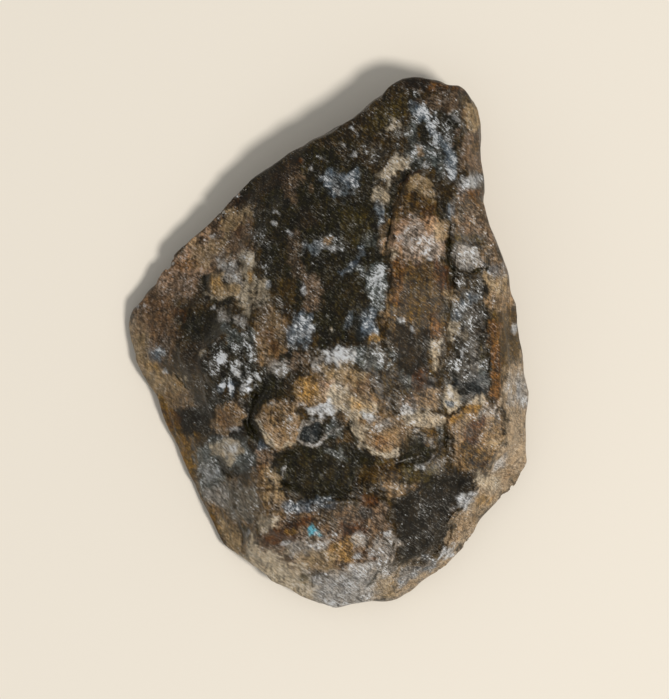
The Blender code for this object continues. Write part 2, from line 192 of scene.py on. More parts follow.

# Where each finish lies on the upper face: its strength, how soft its edge is, and its outline. Later rows
# lie over earlier ones. The sheen, glint and blue play-of-colour finishes laid here are painted light.
AREAS = (
    # The large zones
    ("smoke", 0.9, 1, ((2.5, 28.5), (4.5, 32), (7.5, 35.2), (10.5, 37), (12.5, 35.5), (11.8, 31.5),
        (9.5, 29), (6, 27.2))),
    ("umber", 0.85, 0.7, ((9.5, 35.6), (11, 37.8), (15.5, 37.8), (19.6, 36.4), (19.3, 34.8), (15, 35),
        (12, 35.4))),
    ("hackle", 0.8, 0.8, ((11.8, 35.2), (18.6, 35.2), (19.4, 32), (18.6, 25), (14.6, 24.6), (12, 27.5),
        (11.6, 31))),
    ("mauve", 0.6, 0.8, ((13, 35.6), (18.5, 35.4), (19.2, 33.2), (13.5, 32.9))),
    ("umber", 0.6, 1, ((0, 28.6), (3.6, 32), (5, 31), (2, 27.8))),
    ("olive", 0.6, 1, ((4.5, 30), (8, 34.5), (11, 35), (11, 31.5), (8, 29.4))),
    ("painted_grey_sheen", 0.7, 0.8, ((9.8, 29.6), (11.8, 31), (13.8, 28.6), (14.6, 25.2), (12.8, 24.6), (11.4, 26.8))),
    ("mauve", 0.75, 0.8, ((18.4, 30.2), (21.6, 30), (22.4, 24), (18.6, 24))),
    ("glass", 0.9, 1.4, ((-10, 24.5), (-5, 26.8), (0.5, 28), (5, 26.4), (8, 21.5), (8.2, 14), (7.8, 6),
        (6.4, 1.2), (2.6, -0.6), (-1.6, 0), (-5.4, 4.6), (-8.8, 9), (-10, 14))),
    ("glass", 0.6, 0.8, ((0, 30), (4, 30.4), (4.2, 26.4), (0.4, 26))),
    ("mauve", 0.8, 1.4, ((-28.5, 3), (-24, 9.8), (-17, 18), (-13, 20.5), (-11, 18), (-11, 12), (-13.4, 9.4),
        (-17.2, 9.6), (-18.4, 6.2), (-21.2, 4.6), (-21.4, 0), (-23, -3.4), (-28.5, -2))),
    ("blush", 0.6, 1.2, ((-24, 8.4), (-20.4, 13.6), (-17, 16.2), (-15.4, 14.4), (-16.4, 11), (-18.4, 8.6),
        (-21.6, 7.4))),
    ("smoke", 0.9, 1.2, ((-21, 5), (-17, 6.6), (-13, 6), (-11.2, 3), (-10, -0.5), (-9.6, -6), (-11, -10.5),
        (-14, -9), (-18.8, -8.6), (-20.4, -5.4), (-21.4, -1))),
    ("glass", 0.85, 0.9, ((-20.4, 4), (-16.6, 5.4), (-13.2, 5), (-13, 1.8), (-17, 0.4), (-20.6, 0.6))),
    ("hollow", 0.9, 1, ((-22.4, -10), (-19, -8.4), (-14.6, -7.6), (-11, -8), (-9.6, -11.8), (-9.2, -15.8),
        (-12, -19.6), (-15.2, -16.6), (-16.4, -13.4), (-21.2, -13.6))),
    ("brown", 0.9, 0.9, ((9.2, 19.4), (11, 20.8), (14.8, 20.8), (15.6, 17), (16.8, 11), (17.4, 7.4), (17, 2),
        (16.4, -2), (13.6, -5), (10.4, -3.4), (8.2, 0), (8.6, 9))),
    ("hackle", 0.7, 1, ((17.4, 10), (22.6, 10.4), (23.6, 4), (24, -4), (22.6, -7.8), (17.6, -8.2),
        (16.6, -4), (17.4, 4))),
    ("hackle", 0.8, 1, ((-10, 4), (-5.6, 3), (-3, -1.6), (-5, -5.4), (-10, -7.2))),
    ("tan", 0.75, 1, ((-4.6, -8.6), (-4, -5), (-1, -3.6), (1.6, -3.6), (5.8, -5.4), (7.4, -8.2), (11, -10.4),
        (16.6, -9.6), (16.4, -11.8), (12.4, -12), (10.2, -15.4), (8.2, -16.3), (5, -15.2), (3.4, -12.4),
        (1, -9.8), (-2, -9.8))),
    ("glass", 0.9, 0.9, ((-8.2, -15.6), (-4.2, -14.9), (-3.6, -13.6), (-3.6, -10.6), (0.4, -10.2), (3, -11),
        (3.7, -13.3), (5, -15.2), (8.2, -16.6), (10.2, -15.6), (12.6, -12.6), (15.6, -13), (16.4, -17),
        (13, -18.2), (8, -17.2), (4.2, -19.4), (2.6, -22.6), (-3, -22.6), (-8, -20.6))),
    ("hollow", 0.95, 0.8, ((9, -22), (12.6, -20.2), (14.4, -18), (19.4, -18.4), (20.6, -20.2), (19.6, -22.4),
        (17.2, -24.6), (17.1, -26.6), (16.4, -28.8), (13, -30.8), (10.2, -32), (9.8, -27))),
    ("tan", 0.6, 1, ((-16, -20), (-9.8, -18.6), (-5, -22.4), (-4.8, -24.4), (-9.6, -26), (-11.6, -31),
        (-15.6, -28), (-18.6, -22.4))),
    ("mauve", 0.8, 0.9, ((-10.4, -27.6), (-8, -24.8), (-4, -23.8), (3, -22.6), (7.6, -22.6), (9, -25.4),
        (9.6, -30.8), (3, -32.4), (-4, -33), (-9.4, -31))),
    ("lilac", 0.9, 0.9, ((-5.5, -28), (0, -28.3), (-0.6, -30), (-5.4, -30.6))),
    ("cream", 0.9, 0.8, ((-10, -29.3), (-5.5, -29.8), (-5, -33), (-9, -33.6), (-12.5, -31), (-11, -27))),
    ("lilac", 0.95, 0.6, ((-2.2, -32.2), (0, -32.5), (2, -31.5), (4, -31.2), (6, -31), (7.5, -31.2),
        (9.4, -33), (9, -36), (3, -37.4), (0, -37.6), (-2.8, -35.9), (-2.5, -33.5))),
    ("rim", 0.85, 0.9, ((-28.8, 3), (-26, 3), (-25.4, -2), (-23.2, -3.4), (-23, -7.4), (-25.4, -7.4),
        (-28.8, -2))),
    ("ochre", 0.85, 1, ((-25.4, -6.6), (-22.8, -6), (-21.6, -9.6), (-20.8, -13), (-22.8, -13.2),
        (-25.6, -8))),
    ("ochre", 0.8, 1, ((-22.6, -12.6), (-18.6, -12.8), (-18.2, -20), (-16, -24.4), (-15.4, -28.6),
        (-19, -24))),
    ("painted_grey_sheen", 0.75, 0.9, ((-18.6, -14.8), (-15.6, -14.6), (-14.8, -20.6), (-17.6, -22.6), (-19, -19))),
    ("mauve", 0.8, 1.2, ((18.4, 20.2), (22.6, 20), (24.6, 12), (26.6, 6), (28.2, 1), (24, 0), (22.8, 6),
        (22, 14.8), (18.4, 15))),
    # Khaki on the right flank: partly stained stone and partly painted yellow bounce light.
    ("khaki", 0.85, 0.9, ((22.6, 6), (27.8, 5.6), (28.6, -1), (26.2, -3.6), (23, -7.2), (22.8, 0))),
    ("tan", 0.8, 0.8, ((22.8, 10.6), (25, 10.6), (27.4, 5.6), (24.6, 4.8), (22.6, 5))),
    ("amber", 0.8, 0.5, ((22.6, 3.4), (24.4, 3.4), (24.6, -4), (24.2, -8.6), (22.8, -7))),
    ("rim", 0.9, 1, ((25, -3.5), (28.8, -1.4), (29, -13), (28.4, -19), (25.2, -18.4), (24.8, -11))),
    ("lilac", 0.75, 0.8, ((25.6, -4), (28.6, -4), (28.8, -9.4), (25.6, -9))),
    ("rim", 0.85, 1, ((23.3, -14.6), (28.4, -13.6), (27.8, -18.8), (23, -23.6), (21, -25.4), (17.4, -31.6),
        (16.6, -28), (18.6, -23.8), (20.8, -20.2), (23, -18))),
    ("rim", 0.85, 0.9, ((10, -31.6), (13.5, -30.8), (16.6, -29.6), (18.2, -31.4), (13, -34.8), (9.6, -36.6),
        (9.4, -33))),
    ("painted_blue_sheen", 0.6, 0.7, ((10.4, -32), (13.5, -31), (15.4, -31.4), (12, -33.8), (9.8, -34.6))),
    # Cream on the bottom flank: partly pale crust and partly painted light, laid lighter since the key light
    # only grazes this flank.
    ("cream", 0.85, 0.9, ((-14, -29), (-9, -32.6), (-3.4, -33.6), (-1, -36), (-2.4, -38.6), (-9, -36.4),
        (-15, -31))),
    # The tip and the upper left
    ("glass", 0.8, 0.7, ((-9.2, 20), (-9, 25.2), (-6.2, 26.6), (-5.8, 21.4))),
    ("glass", 0.95, 0.6, ((-13.8, 20.6), (-12, 23.2), (-9.8, 24.6), (-10, 20.2))),
    ("mauve", 0.5, 0.8, ((-6.2, 20), (-6, 25), (-4, 25.2), (-4, 20.2))),
    ("painted_blue_sheen", 0.65, 0.6, ((0, 24.3), (4, 24.6), (4.3, 22.5), (2.5, 20.5), (0, 20.8), (-0.6, 23))),
    ("painted_grey_sheen", 0.15, 0.8, ((5, 27.5), (8.2, 27.6), (8, 25.2), (5, 25))),
    ("painted_grey_sheen", 0.6, 0.6, ((9.2, 27.4), (12.2, 27.6), (13, 24.6), (10.6, 24.2))),
    ("cream", 0.95, 0.4, ((8.3, 25.6), (9.4, 27), (11.3, 26.2), (11.2, 24.8), (9, 24.6))),
    ("cream", 0.9, 0.3, ((7, 24), (8.2, 25.2), (9.2, 24.4), (9.2, 22.9), (8, 23))),
    ("cream", 0.75, 0.5, ((6.4, 20), (6.6, 22.2), (8.4, 22.6), (8.8, 20.6), (7.8, 19))),
    ("cream", 0.8, 0.35, ((8.6, 30.2), (9, 31.6), (10, 31.5), (10.2, 30.2), (9.2, 29.8))),
    ("tan", 0.8, 0.3, ((12.4, 28.2), (13.4, 28.3), (13.5, 26.5), (12.5, 26.4))),
    ("beige", 0.95, 0.3, ((19, 34), (20.8, 33.8), (21.7, 32.6), (21.6, 30.4), (19.8, 30.2), (19.2, 31.5))),
    ("amber", 0.6, 0.3, ((18.8, 34), (19.5, 33.8), (19.6, 31), (18.9, 31.4))),
    ("white_crust_and_glint", 0.75, 0.5, ((18.6, 23.7), (21.4, 23.8), (21.8, 21.7), (18.6, 21.5))),
    ("painted_blue_sheen", 0.8, 0.5, ((16.4, 27.4), (18.2, 26.8), (18.4, 23), (17.2, 22.8))),
    ("amber", 0.6, 0.5, ((18.6, 21.6), (21.8, 21.6), (21.8, 20.4), (18.8, 20.4))),
    ("painted_grey_sheen", 0.4, 0.5, ((14.9, 27), (16.5, 27.2), (16.8, 23), (15.2, 22.6))),
    ("brown", 0.6, 0.35, ((10.2, 22.3), (11, 23.6), (12.5, 23.9), (14, 23.1), (14.8, 21.5), (14.8, 20),
        (10.3, 20.3))),
    ("beige", 0.85, 0.5, ((11, 23.4), (12.6, 23.8), (14.6, 22.6), (15, 20.6), (13, 21.4), (11, 22.4))),
    # The dark face
    ("umber", 0.5, 0.8, ((-4.2, 16), (-4, 19.2), (-2, 19), (-2, 16.2))),
    ("hackle", 0.6, 0.9, ((-1, 17.4), (2.4, 16.8), (2.6, 12), (-0.6, 12.4))),
    ("mauve", 0.4, 0.9, ((-5.6, 15.6), (-3.6, 15.6), (-3.2, 9.6), (-5.4, 9.6))),
    ("olive", 0.5, 1, ((2, 15), (2.2, 19.2), (6.2, 19), (6, 15))),
    ("hackle", 0.6, 0.7, ((-10.4, 18.4), (-8, 18.6), (-7.6, 10), (-9.8, 9.8))),
    ("painted_blue_sheen", 0.55, 0.5, ((-3.9, 12.5), (-3.6, 14.5), (-1.5, 14.3), (-1.3, 12.6))),
    ("painted_blue_sheen", 0.9, 0.3, ((1.4, 9.4), (3, 11.3), (4.8, 13.2), (5.3, 12.6), (4, 11.4), (2.2, 9.5))),
    ("painted_grey_sheen", 0.75, 0.5, ((4.6, 10.3), (6, 11.8), (7.5, 11.6), (8.4, 8.5), (7.8, 4.8), (6.2, 4.6),
        (5, 7.5))),
    ("painted_grey_sheen", 0.6, 0.3, ((5.2, 10.4), (6.6, 11), (7.2, 8.8), (6.2, 7), (5.4, 8))),
    ("mauve", 0.8, 0.6, ((-3.2, 5), (-3.4, 8.4), (-2.4, 9.6), (-0.8, 9), (-0.8, 5.4))),
    ("khaki", 0.6, 0.5, ((-7, 7), (-6.8, 9.4), (-5.6, 9), (-4.4, 7.6), (-4.6, 5.8), (-5.8, 6))),
    ("cream", 0.7, 0.4, ((-10.4, 5), (-10.2, 7.6), (-9, 8.8), (-8, 8), (-8.8, 5.6))),
    ("tan", 0.5, 0.8, ((-10.2, 0), (-10, 4.8), (-7.4, 5), (-5.6, 3.2), (-5.4, -1), (-8, -3), (-10.2, -2.8))),
    ("amber", 0.6, 0.5, ((-9.6, 0), (-9, 1.6), (-7.4, 0.8), (-6.2, -1.2), (-7.4, -2.2))),
    ("painted_blue_sheen", 0.75, 0.5, ((-5.5, 4.8), (-4, 4.6), (-2.5, 3.9), (-1.9, 2.5), (-1.9, 0.4), (-3.2, -1.2),
        (-5.4, 0.4))),
    ("white_crust_and_glint", 0.5, 0.4, ((-3.6, 2.6), (-2.2, 2.8), (-2.2, 0.8), (-3.8, 0.8))),
    # Dark glass in the slot of a chip: partly the dark stone and partly painted shade.
    ("glass", 0.95, 0.3, ((-1.8, 2.6), (-0.4, 2.8), (0, 0.4), (-0.4, -1), (-1.5, -0.6))),
    ("slate", 0.7, 0.6, ((3.8, 5.2), (5.6, 5), (5.6, 0.6), (4.2, 0.4))),
    ("painted_blue_sheen", 0.75, 0.4, ((5, 4.3), (6.9, 4.4), (7, 1.5), (5.2, 1.4))),
    ("painted_blue_sheen", 0.65, 0.3, ((6.7, 19.4), (7.9, 19.2), (8, 17), (6.8, 16.9))),
    ("tan", 0.7, 0.25, ((7.3, 17), (8.1, 17), (8.1, 13), (7.4, 13))),
    ("painted_grey_sheen", 0.3, 0.5, ((5.3, 15.6), (7, 15.6), (7.2, 13.3), (5.6, 13.3))),
    # The grain column
    ("beige", 0.8, 0.35, ((8.5, 17.6), (9.5, 17.8), (9.5, 13.4), (8.6, 13.2))),
    ("tan", 0.7, 0.3, ((8.6, 7), (9.2, 7), (9, 4), (8, 3.2), (7.6, 2.6), (8.2, 4.6))),
    ("rust", 0.7, 0.4, ((13.4, 19.2), (15, 19), (15.2, 16.8), (13.6, 17))),
    ("blush", 0.9, 0.9, ((9.1, 17.4), (12, 18.4), (16.6, 16.6), (16.9, 12.6), (12.6, 11), (9.1, 11.2))),
    ("lilac", 0.6, 0.7, ((10, 15), (11.5, 17), (12.5, 17.6), (15, 16.1), (16.3, 15.5), (16.6, 12.5),
        (15.5, 11.5), (10, 11.2))),
    ("umber", 0.45, 0.8, ((10, 10.6), (15, 10.8), (15.2, 5.6), (10.2, 5.4))),
    ("amber", 0.75, 0.5, ((8.9, 12.6), (10.8, 12.4), (10.2, 5.4), (8.9, 5.4))),
    ("rust", 0.85, 0.6, ((15, 11), (17, 11.2), (17.6, 7.6), (15.4, 7.5))),
    ("beige", 0.6, 0.35, ((16.5, 7.6), (18.6, 7.4), (18.4, 6), (16.8, 5.9))),
    ("glass", 0.8, 0.4, ((15.9, 6), (17, 6), (17, 3), (16, 3))),
    ("amber", 0.85, 0.3, ((14.6, 4.1), (15.9, 3.9), (15.9, 1), (14.7, 1))),
    ("cream", 0.95, 0.25, ((14.1, 0.4), (16, 0.6), (16.1, -1.5), (15.6, -3), (15.2, -4.1), (14.7, -3.8),
        (14.4, -2))),
    ("khaki", 0.7, 0.8, ((11.2, 10.6), (14.6, 10.6), (14.4, 3), (11.4, 3))),
    ("hollow", 0.9, 0.9, ((9.6, 2.6), (14, 2.2), (14.4, -1), (14, -4.8), (10, -4.6), (8.2, -0.6))),
    # The groove and the right strips
    # Dark glass in the groove: partly the dark stone and partly painted shade.
    ("glass", 0.9, 0.35, ((15.5, 20.2), (17.3, 20.2), (17.4, 16.8), (16, 16.6))),
    ("painted_blue_sheen", 0.8, 0.3, ((17.2, 19.2), (18, 19.1), (18.1, 17.8), (17.3, 17.7))),
    ("glass", 0.95, 0.3, ((16.9, 14.9), (18, 14.9), (18.2, 11), (18.3, 9.8), (17.6, 8.4), (17.1, 11))),
    ("beige", 0.7, 0.4, ((15, 17), (17, 17.1), (17.1, 15), (15.2, 15))),
    ("brown", 0.45, 0.6, ((18, 20.2), (22.2, 20.2), (22.2, 18), (18.2, 18))),
    ("olive", 0.7, 0.5, ((18, 15.3), (22.2, 15.3), (22.4, 14), (18.2, 14))),
    ("lilac", 1, 0.25, ((18.3, 13.5), (19, 13.8), (21.3, 13.9), (21.5, 12.5), (21.6, 10.9), (20.5, 10.6),
        (19, 10.2), (18.3, 11.5))),
    ("tan", 0.7, 0.5, ((21.7, 15.2), (24.2, 13.6), (24.4, 10.4), (21.8, 10.6))),
    ("painted_blue_sheen", 0.6, 0.5, ((22, 11), (24.6, 11.2), (24.8, 9.2), (22.2, 9.2))),
    ("smoke", 0.5, 0.7, ((18, 10), (22, 10.1), (22, 7), (18.2, 7))),
    ("beige", 0.8, 0.5, ((22.3, 9.6), (25.2, 9.4), (25.6, 7.2), (22.6, 7.4))),
    ("painted_blue_sheen", 0.7, 0.35, ((20.2, 7), (21.8, 7), (21.8, 5.5), (20.3, 5.4))),
    ("painted_blue_sheen", 0.55, 0.3, ((20, 5.8), (19.2, 4), (18.3, 2.8), (17.8, 3.2), (18.6, 4.4), (19.4, 5.8))),
    ("cream", 0.65, 0.4, ((17.2, 2.6), (19, 2.6), (19, 0.5), (17.4, 0.4))),
    ("umber", 0.4, 0.7, ((20, 4.5), (22.2, 4.6), (22.4, 1), (20.2, 1))),
    ("smoke", 0.8, 0.5, ((16, 0), (17.6, 0), (17.6, -2.6), (16.2, -2.6))),
    ("olive", 0.6, 0.5, ((21, -0.4), (22.9, -0.4), (22.9, -2.6), (21.1, -2.5))),
    ("painted_grey_sheen", 0.7, 0.5, ((21.4, -3), (22.7, -3), (22.7, -6.2), (21.5, -6))),
    ("lilac", 0.5, 0.25, ((20.1, 0), (20.9, 0), (20.9, -3.6), (20.2, -3.5))),
    ("amber", 0.7, 0.4, ((22.9, -2), (24.2, -2), (24.2, -7.2), (23, -7))),
    ("slate", 0.7, 0.7, ((17.6, -5), (22.2, -5), (22, -8), (19, -8.4), (17.6, -6.4))),
    ("cream", 0.95, 0.25, ((16.6, -6.8), (17.5, -6.6), (18.4, -6.9), (18.9, -8.5), (18.2, -9.3),
        (17.2, -9.7), (16.6, -9))),
    # The left slope
    ("amber", 0.4, 0.9, ((-27.4, 1), (-26.6, 5), (-24, 7.2), (-22, 6.4), (-22, 1.2), (-24.4, 0.2))),
    ("beige", 0.6, 0.9, ((-19.8, 14.6), (-16.4, 14.8), (-16.4, 11), (-19.4, 10.8))),
    ("mauve", 0.7, 0.6, ((-21.6, 9.6), (-18, 9.7), (-18, 7.8), (-21.2, 7.6))),
    ("umber", 0.7, 1, ((-12, 20), (-9, 24.4), (-4, 27.2), (-4, 25), (-8.6, 21))),
    ("umber", 0.85, 0.8, ((-16.2, 16.6), (-15, 19.6), (-12.4, 21.4), (-11, 20.2), (-12.6, 18.9),
        (-14.4, 18.3))),
    ("beige", 0.85, 0.35, ((-11, 19.7), (-12.5, 18.9), (-14.3, 18.2), (-15.2, 16.5), (-14.6, 15.3),
        (-13, 16.2), (-11.9, 17.4), (-10.9, 18.2))),
    ("beige", 0.8, 0.3, ((-16.8, 14.3), (-15.2, 15), (-13.9, 15.5), (-15, 13.3), (-16.3, 12.7))),
    ("cream", 0.9, 0.5, ((-12.8, 12.6), (-10.8, 12.8), (-10.6, 4), (-12.2, 4))),
    ("lilac", 1, 0.7, ((-15.8, 12.2), (-12.4, 12.2), (-12.4, 8), (-15, 9.2))),
    ("beige", 0.9, 0.3, ((-17, 9.2), (-16.3, 9.5), (-15.2, 9.4), (-14.8, 8.3), (-13, 7.9), (-12.8, 7),
        (-14.3, 6.7), (-15.3, 6.5), (-17, 7.2))),
    ("honey", 0.6, 0.4, ((-16.4, 8.8), (-15.2, 8.8), (-14.8, 7.6), (-16.2, 7.6))),
    ("glass", 0.85, 0.35, ((-17.9, 9.5), (-17, 9.4), (-17, 6.4), (-13.2, 6.4), (-13.4, 5.5), (-17.8, 5.6))),
    ("lilac", 0.9, 0.5, ((-15.7, 4.7), (-14, 4.7), (-14, 3.5), (-15.6, 3.5))),
    ("lilac", 0.95, 0.5, ((-13.2, 3.7), (-11.5, 3.7), (-11.5, 2.3), (-13, 2.2))),
    ("painted_grey_sheen", 0.7, 0.7, ((-15.2, 2.2), (-11, 2.2), (-10.4, -1), (-15, -1))),
    # The lower left
    ("painted_blue_sheen", 0.95, 0.5, ((-25, -1.5), (-24.4, -0.6), (-23.5, -0.7), (-23, -1.6), (-23.6, -2.5),
        (-24.6, -2.4))),
    ("beige", 0.85, 0.8, ((-28.3, 0.6), (-25.5, 0.6), (-25.4, -3), (-27.4, -3.2))),
    ("honey", 0.7, 0.5, ((-25.6, -3), (-24, -3), (-23.9, -4.1), (-25.5, -4.2))),
    ("beige", 0.8, 0.6, ((-26.5, -4.2), (-23.2, -4.2), (-23.4, -7.2), (-25.6, -7.2))),
    ("tan", 0.85, 0.35, ((-23, -4.5), (-21.8, -4.3), (-20.5, -6), (-19.3, -7), (-18.8, -9), (-21, -9.5),
        (-22.3, -9.3), (-23.6, -7.5))),
    ("beige", 0.6, 0.4, ((-23.4, -4.2), (-21.2, -4.2), (-20.6, -6.8), (-23.2, -7.2))),
    ("ochre", 0.6, 0.3, ((-22.4, -5), (-21.6, -4.8), (-21, -6), (-21.8, -6.2))),
    ("umber", 0.6, 0.8, ((-21.2, 0), (-16.5, -0.4), (-16.4, -4.2), (-20.6, -4.2))),
    ("cream", 0.7, 0.3, ((-18.7, -1.1), (-17.5, -0.9), (-17.4, -1.7), (-18.6, -1.8))),
    ("hackle", 0.9, 0.8, ((-17, 0), (-10.6, 0), (-9.8, -3), (-9.8, -7.4), (-16.8, -7.2), (-17.6, -3.4))),
    ("hackle", 0.5, 0.8, ((-19.2, -7), (-14, -7.2), (-13.8, -9.6), (-19, -10.2))),
    # The brightest spot on the hump is a painted glint.
    ("white_crust_and_glint", 1, 0.5, ((-12.6, -6), (-11.4, -5.7), (-10.2, -6), (-10.1, -7.3), (-11.2, -7.4), (-12.5, -7))),
    ("painted_blue_sheen", 0.7, 0.5, ((-15.4, -5.9), (-13.7, -5.9), (-13.7, -7.1), (-15.2, -7.1))),
    ("rust", 0.6, 0.6, ((-23, -9.5), (-21, -9.6), (-20.8, -12.2), (-22.4, -12.2))),
    ("tan", 0.9, 0.3, ((-16, -9.5), (-15, -9.2), (-13.5, -8.4), (-12.5, -9), (-12, -10.5), (-12.3, -11.5),
        (-13.5, -12.3), (-14.3, -13), (-15.5, -13), (-16.3, -12), (-15.9, -10.5))),
    ("amber", 0.6, 0.5, ((-15.6, -10), (-14, -9.4), (-13, -10.4), (-14.4, -12), (-15.6, -11.6))),
    ("painted_grey_sheen", 0.6, 0.7, ((-16.6, -13.4), (-11.6, -13.4), (-11.4, -17.6), (-15.6, -17.8))),
    ("cream", 1, 0.15, ((-16.6, -15), (-15.2, -14.2), (-14, -13.4), (-12.4, -13.6), (-12, -15),
        (-12.8, -16.3), (-13.7, -17.2), (-14.5, -16.6), (-14.6, -15.8), (-16.2, -15.8))),
    ("white_crust_and_glint", 0.7, 0.15, ((-14.6, -14.4), (-12.8, -14), (-12.8, -15.4), (-14, -15.8))),
    # Dark glass in the chipped lens: partly the dark stone and partly painted shade.
    ("glass", 0.9, 0.25, ((-15.4, -16), (-14.6, -16.3), (-14, -17.5), (-13.5, -18.5), (-13.3, -19.3),
        (-14.3, -19), (-15.1, -18), (-15.5, -17))),
    ("white_crust_and_glint", 0.6, 0.6, ((-18, -17.6), (-16.2, -17.6), (-16, -19.8), (-17.8, -19.8))),
    ("painted_grey_sheen", 0.6, 0.7, ((-13, -16), (-10, -16), (-10, -18.2), (-12.6, -18.2))),
    # The crest, the tongue and the bowl
    ("tan", 0.7, 0.6, ((-10, 0), (-8.3, 0), (-8.3, -3), (-10, -3))),
    ("lilac", 0.65, 0.6, ((-8.5, -2.5), (-5, -2.4), (-5, -4.5), (-8.4, -4.6))),
    ("glass", 0.85, 0.6, ((-10, -4.6), (-6.2, -4.6), (-6, -7.2), (-9, -8.4), (-10.2, -7.6))),
    ("mauve", 0.7, 0.7, ((-5, -1), (-2.2, -1), (-2.2, -3.2), (-5, -4.2))),
    ("painted_grey_sheen", 0.7, 0.7, ((3, -0.6), (9.2, -1), (9.4, -4.2), (3.4, -3.4))),
    ("lilac", 0.95, 0.4, ((-2, -2.4), (-0.8, -2.2), (-0.8, -4.3), (-1.9, -4.3))),
    ("white_crust_and_glint", 0.95, 0.4, ((-0.4, -1.5), (1, -0.5), (3.4, -1.2), (4, -2.3), (2.2, -3.1), (1.8, -4.6),
        (1.1, -3.7), (-0.2, -3.5))),
    ("rust", 0.5, 0.4, ((3, -3.8), (4.5, -3.6), (5.6, -4), (5.8, -5.5), (5.5, -7.3), (4.2, -7.3), (3, -6.5),
        (2.6, -5.3))),
    ("beige", 0.75, 0.5, ((-0.9, -3.4), (3.2, -3), (5.4, -4.2), (4.6, -6), (1.6, -5.6), (-0.6, -5.4))),
    ("honey", 0.7, 0.5, ((-3.8, -5), (-1.2, -4.8), (-0.9, -7.4), (-2.2, -8.4), (-3.9, -8))),
    ("blush", 0.85, 0.5, ((-1, -5.4), (1.6, -5.6), (1.6, -8), (-0.8, -8.2))),
    ("cream", 0.95, 0.4, ((0.4, -6.2), (1.5, -5.5), (2.5, -6.3), (3, -8), (5.5, -8), (7, -8.8), (7, -9.6),
        (5, -10.5), (5.8, -12), (5.3, -13.5), (4.2, -13.8), (3.4, -12), (2.9, -10.3), (1, -9.8),
        (-0.5, -8))),
    ("honey", 0.7, 0.35, ((3.2, -8.2), (6.2, -8.2), (6.4, -9.2), (3.6, -9.4))),
    ("white_crust_and_glint", 0.8, 0.25, ((4.6, -9.7), (5.5, -9.5), (7.1, -10.2), (6.2, -10.7), (5.1, -10.4))),
    ("lilac", 0.75, 0.4, ((6.5, -10.4), (9.2, -10.6), (9, -12.5), (6.6, -12.6))),
    ("tan", 0.9, 0.4, ((6.2, -12.4), (10, -12.4), (10, -15), (8, -15.8), (5.6, -14.6))),
    ("amber", 0.75, 0.4, ((6.8, -13.4), (9, -13.2), (9, -14.8), (7, -14.6))),
    ("white_crust_and_glint", 1, 0.6, ((-4, -8.5), (-2, -9.1), (0, -8.5), (1, -9.3), (0.5, -10.2), (-2, -10.1),
        (-3.8, -9.4))),
    ("tan", 0.95, 0.3, ((-9.3, -8.8), (-7.5, -8), (-6.2, -8), (-4.8, -8.3), (-5, -9.5), (-4.2, -10.5),
        (-3.9, -12), (-4.1, -13.5), (-4.6, -14.6), (-6, -15), (-7.3, -15.3), (-7.8, -14.5), (-8.5, -13.2),
        (-9, -12), (-10, -11))),
    ("brown", 0.6, 0.5, ((-9, -9.4), (-7, -8.6), (-5.2, -9.2), (-5.6, -11.6), (-8.6, -11.6))),
    # Blue-black glass in the chip: partly the dark stone and partly painted shade.
    ("slate", 0.95, 0.25, ((-3.4, -11.2), (-1.3, -11.1), (-1, -12), (-1.2, -13.5), (-2, -14), (-3.5, -13.7),
        (-3.6, -12.5))),
    ("brown", 0.8, 0.4, ((1, -12), (3.5, -12), (3.9, -13.8), (1.2, -14.2))),
    ("painted_grey_sheen", 0.6, 0.5, ((-0.8, -10.9), (2.6, -11), (2.4, -13.4), (-0.4, -13.4))),
    ("painted_grey_sheen", 0.7, 0.4, ((0, -15), (2.3, -15), (2.4, -16.4), (0.2, -16.4))),
    ("painted_blue_sheen", 0.65, 0.4, ((-9.9, -13.6), (-8.6, -13.8), (-8.6, -14.9), (-9.8, -14.9))),
    ("mauve", 0.7, 0.6, ((-10, -15.4), (-7.6, -15.6), (-7.4, -17), (-9.8, -17.2))),
    ("amber", 0.6, 0.5, ((-10.2, -17.4), (-9, -17.4), (-9, -18.6), (-10, -18.6))),
    ("beige", 0.6, 0.6, ((-9.2, -18.2), (-7, -18.4), (-7, -20.2), (-9, -20.2))),
    ("khaki", 0.8, 0.4, ((4, -18.2), (6.6, -17.6), (7.4, -18.8), (6.6, -20.2), (4.6, -20))),
    ("brown", 0.85, 0.5, ((6.8, -16.6), (9.4, -16.8), (10.4, -19.6), (8.6, -20.6), (6.8, -19))),
    ("tan", 0.85, 0.4, ((7.6, -20), (12.4, -19.6), (12.8, -20.6), (10, -22.2), (8.4, -22))),
    ("painted_grey_sheen", 0.5, 0.5, ((10, -4.5), (12, -4.5), (12.2, -7), (10.2, -7.2))),
    ("rust", 0.7, 0.5, ((12, -4.4), (14, -4.4), (14.2, -7.2), (12.2, -7.2))),
    ("slate", 0.7, 0.4, ((13.7, -4.8), (15, -4.8), (15.2, -7.2), (13.9, -7.2))),
    ("tan", 0.85, 0.5, ((12.2, -7), (15.6, -7), (15.8, -9), (12.4, -9.2))),
    ("mauve", 0.7, 0.4, ((10, -7.7), (12.4, -7.7), (12.6, -9.2), (10.4, -9.4))),
    ("cream", 0.9, 0.35, ((11, -10.6), (12.5, -9.9), (14, -9.6), (16.3, -9.9), (16.6, -10.8), (16, -11.6),
        (14.3, -11.9), (13.2, -12.1), (12.2, -11.5), (11.3, -11.2))),
    ("brown", 0.8, 0.4, ((13.6, -12), (15.6, -12), (15.6, -14.6), (13.8, -14.8))),
    ("painted_grey_sheen", 0.7, 0.25, ((15.4, -11.7), (16.2, -11.7), (16.3, -13.8), (15.5, -13.9))),
    # Dark glass in the crevice by the swirl plate: partly the dark stone and partly painted shade.
    ("glass", 0.95, 0.2, ((16.3, -11.2), (16.9, -11.3), (17, -14.8), (16.4, -14.9))),
    ("smoke", 0.85, 0.6, ((14.6, -15), (18, -15), (18.2, -18.8), (14, -18.8))),
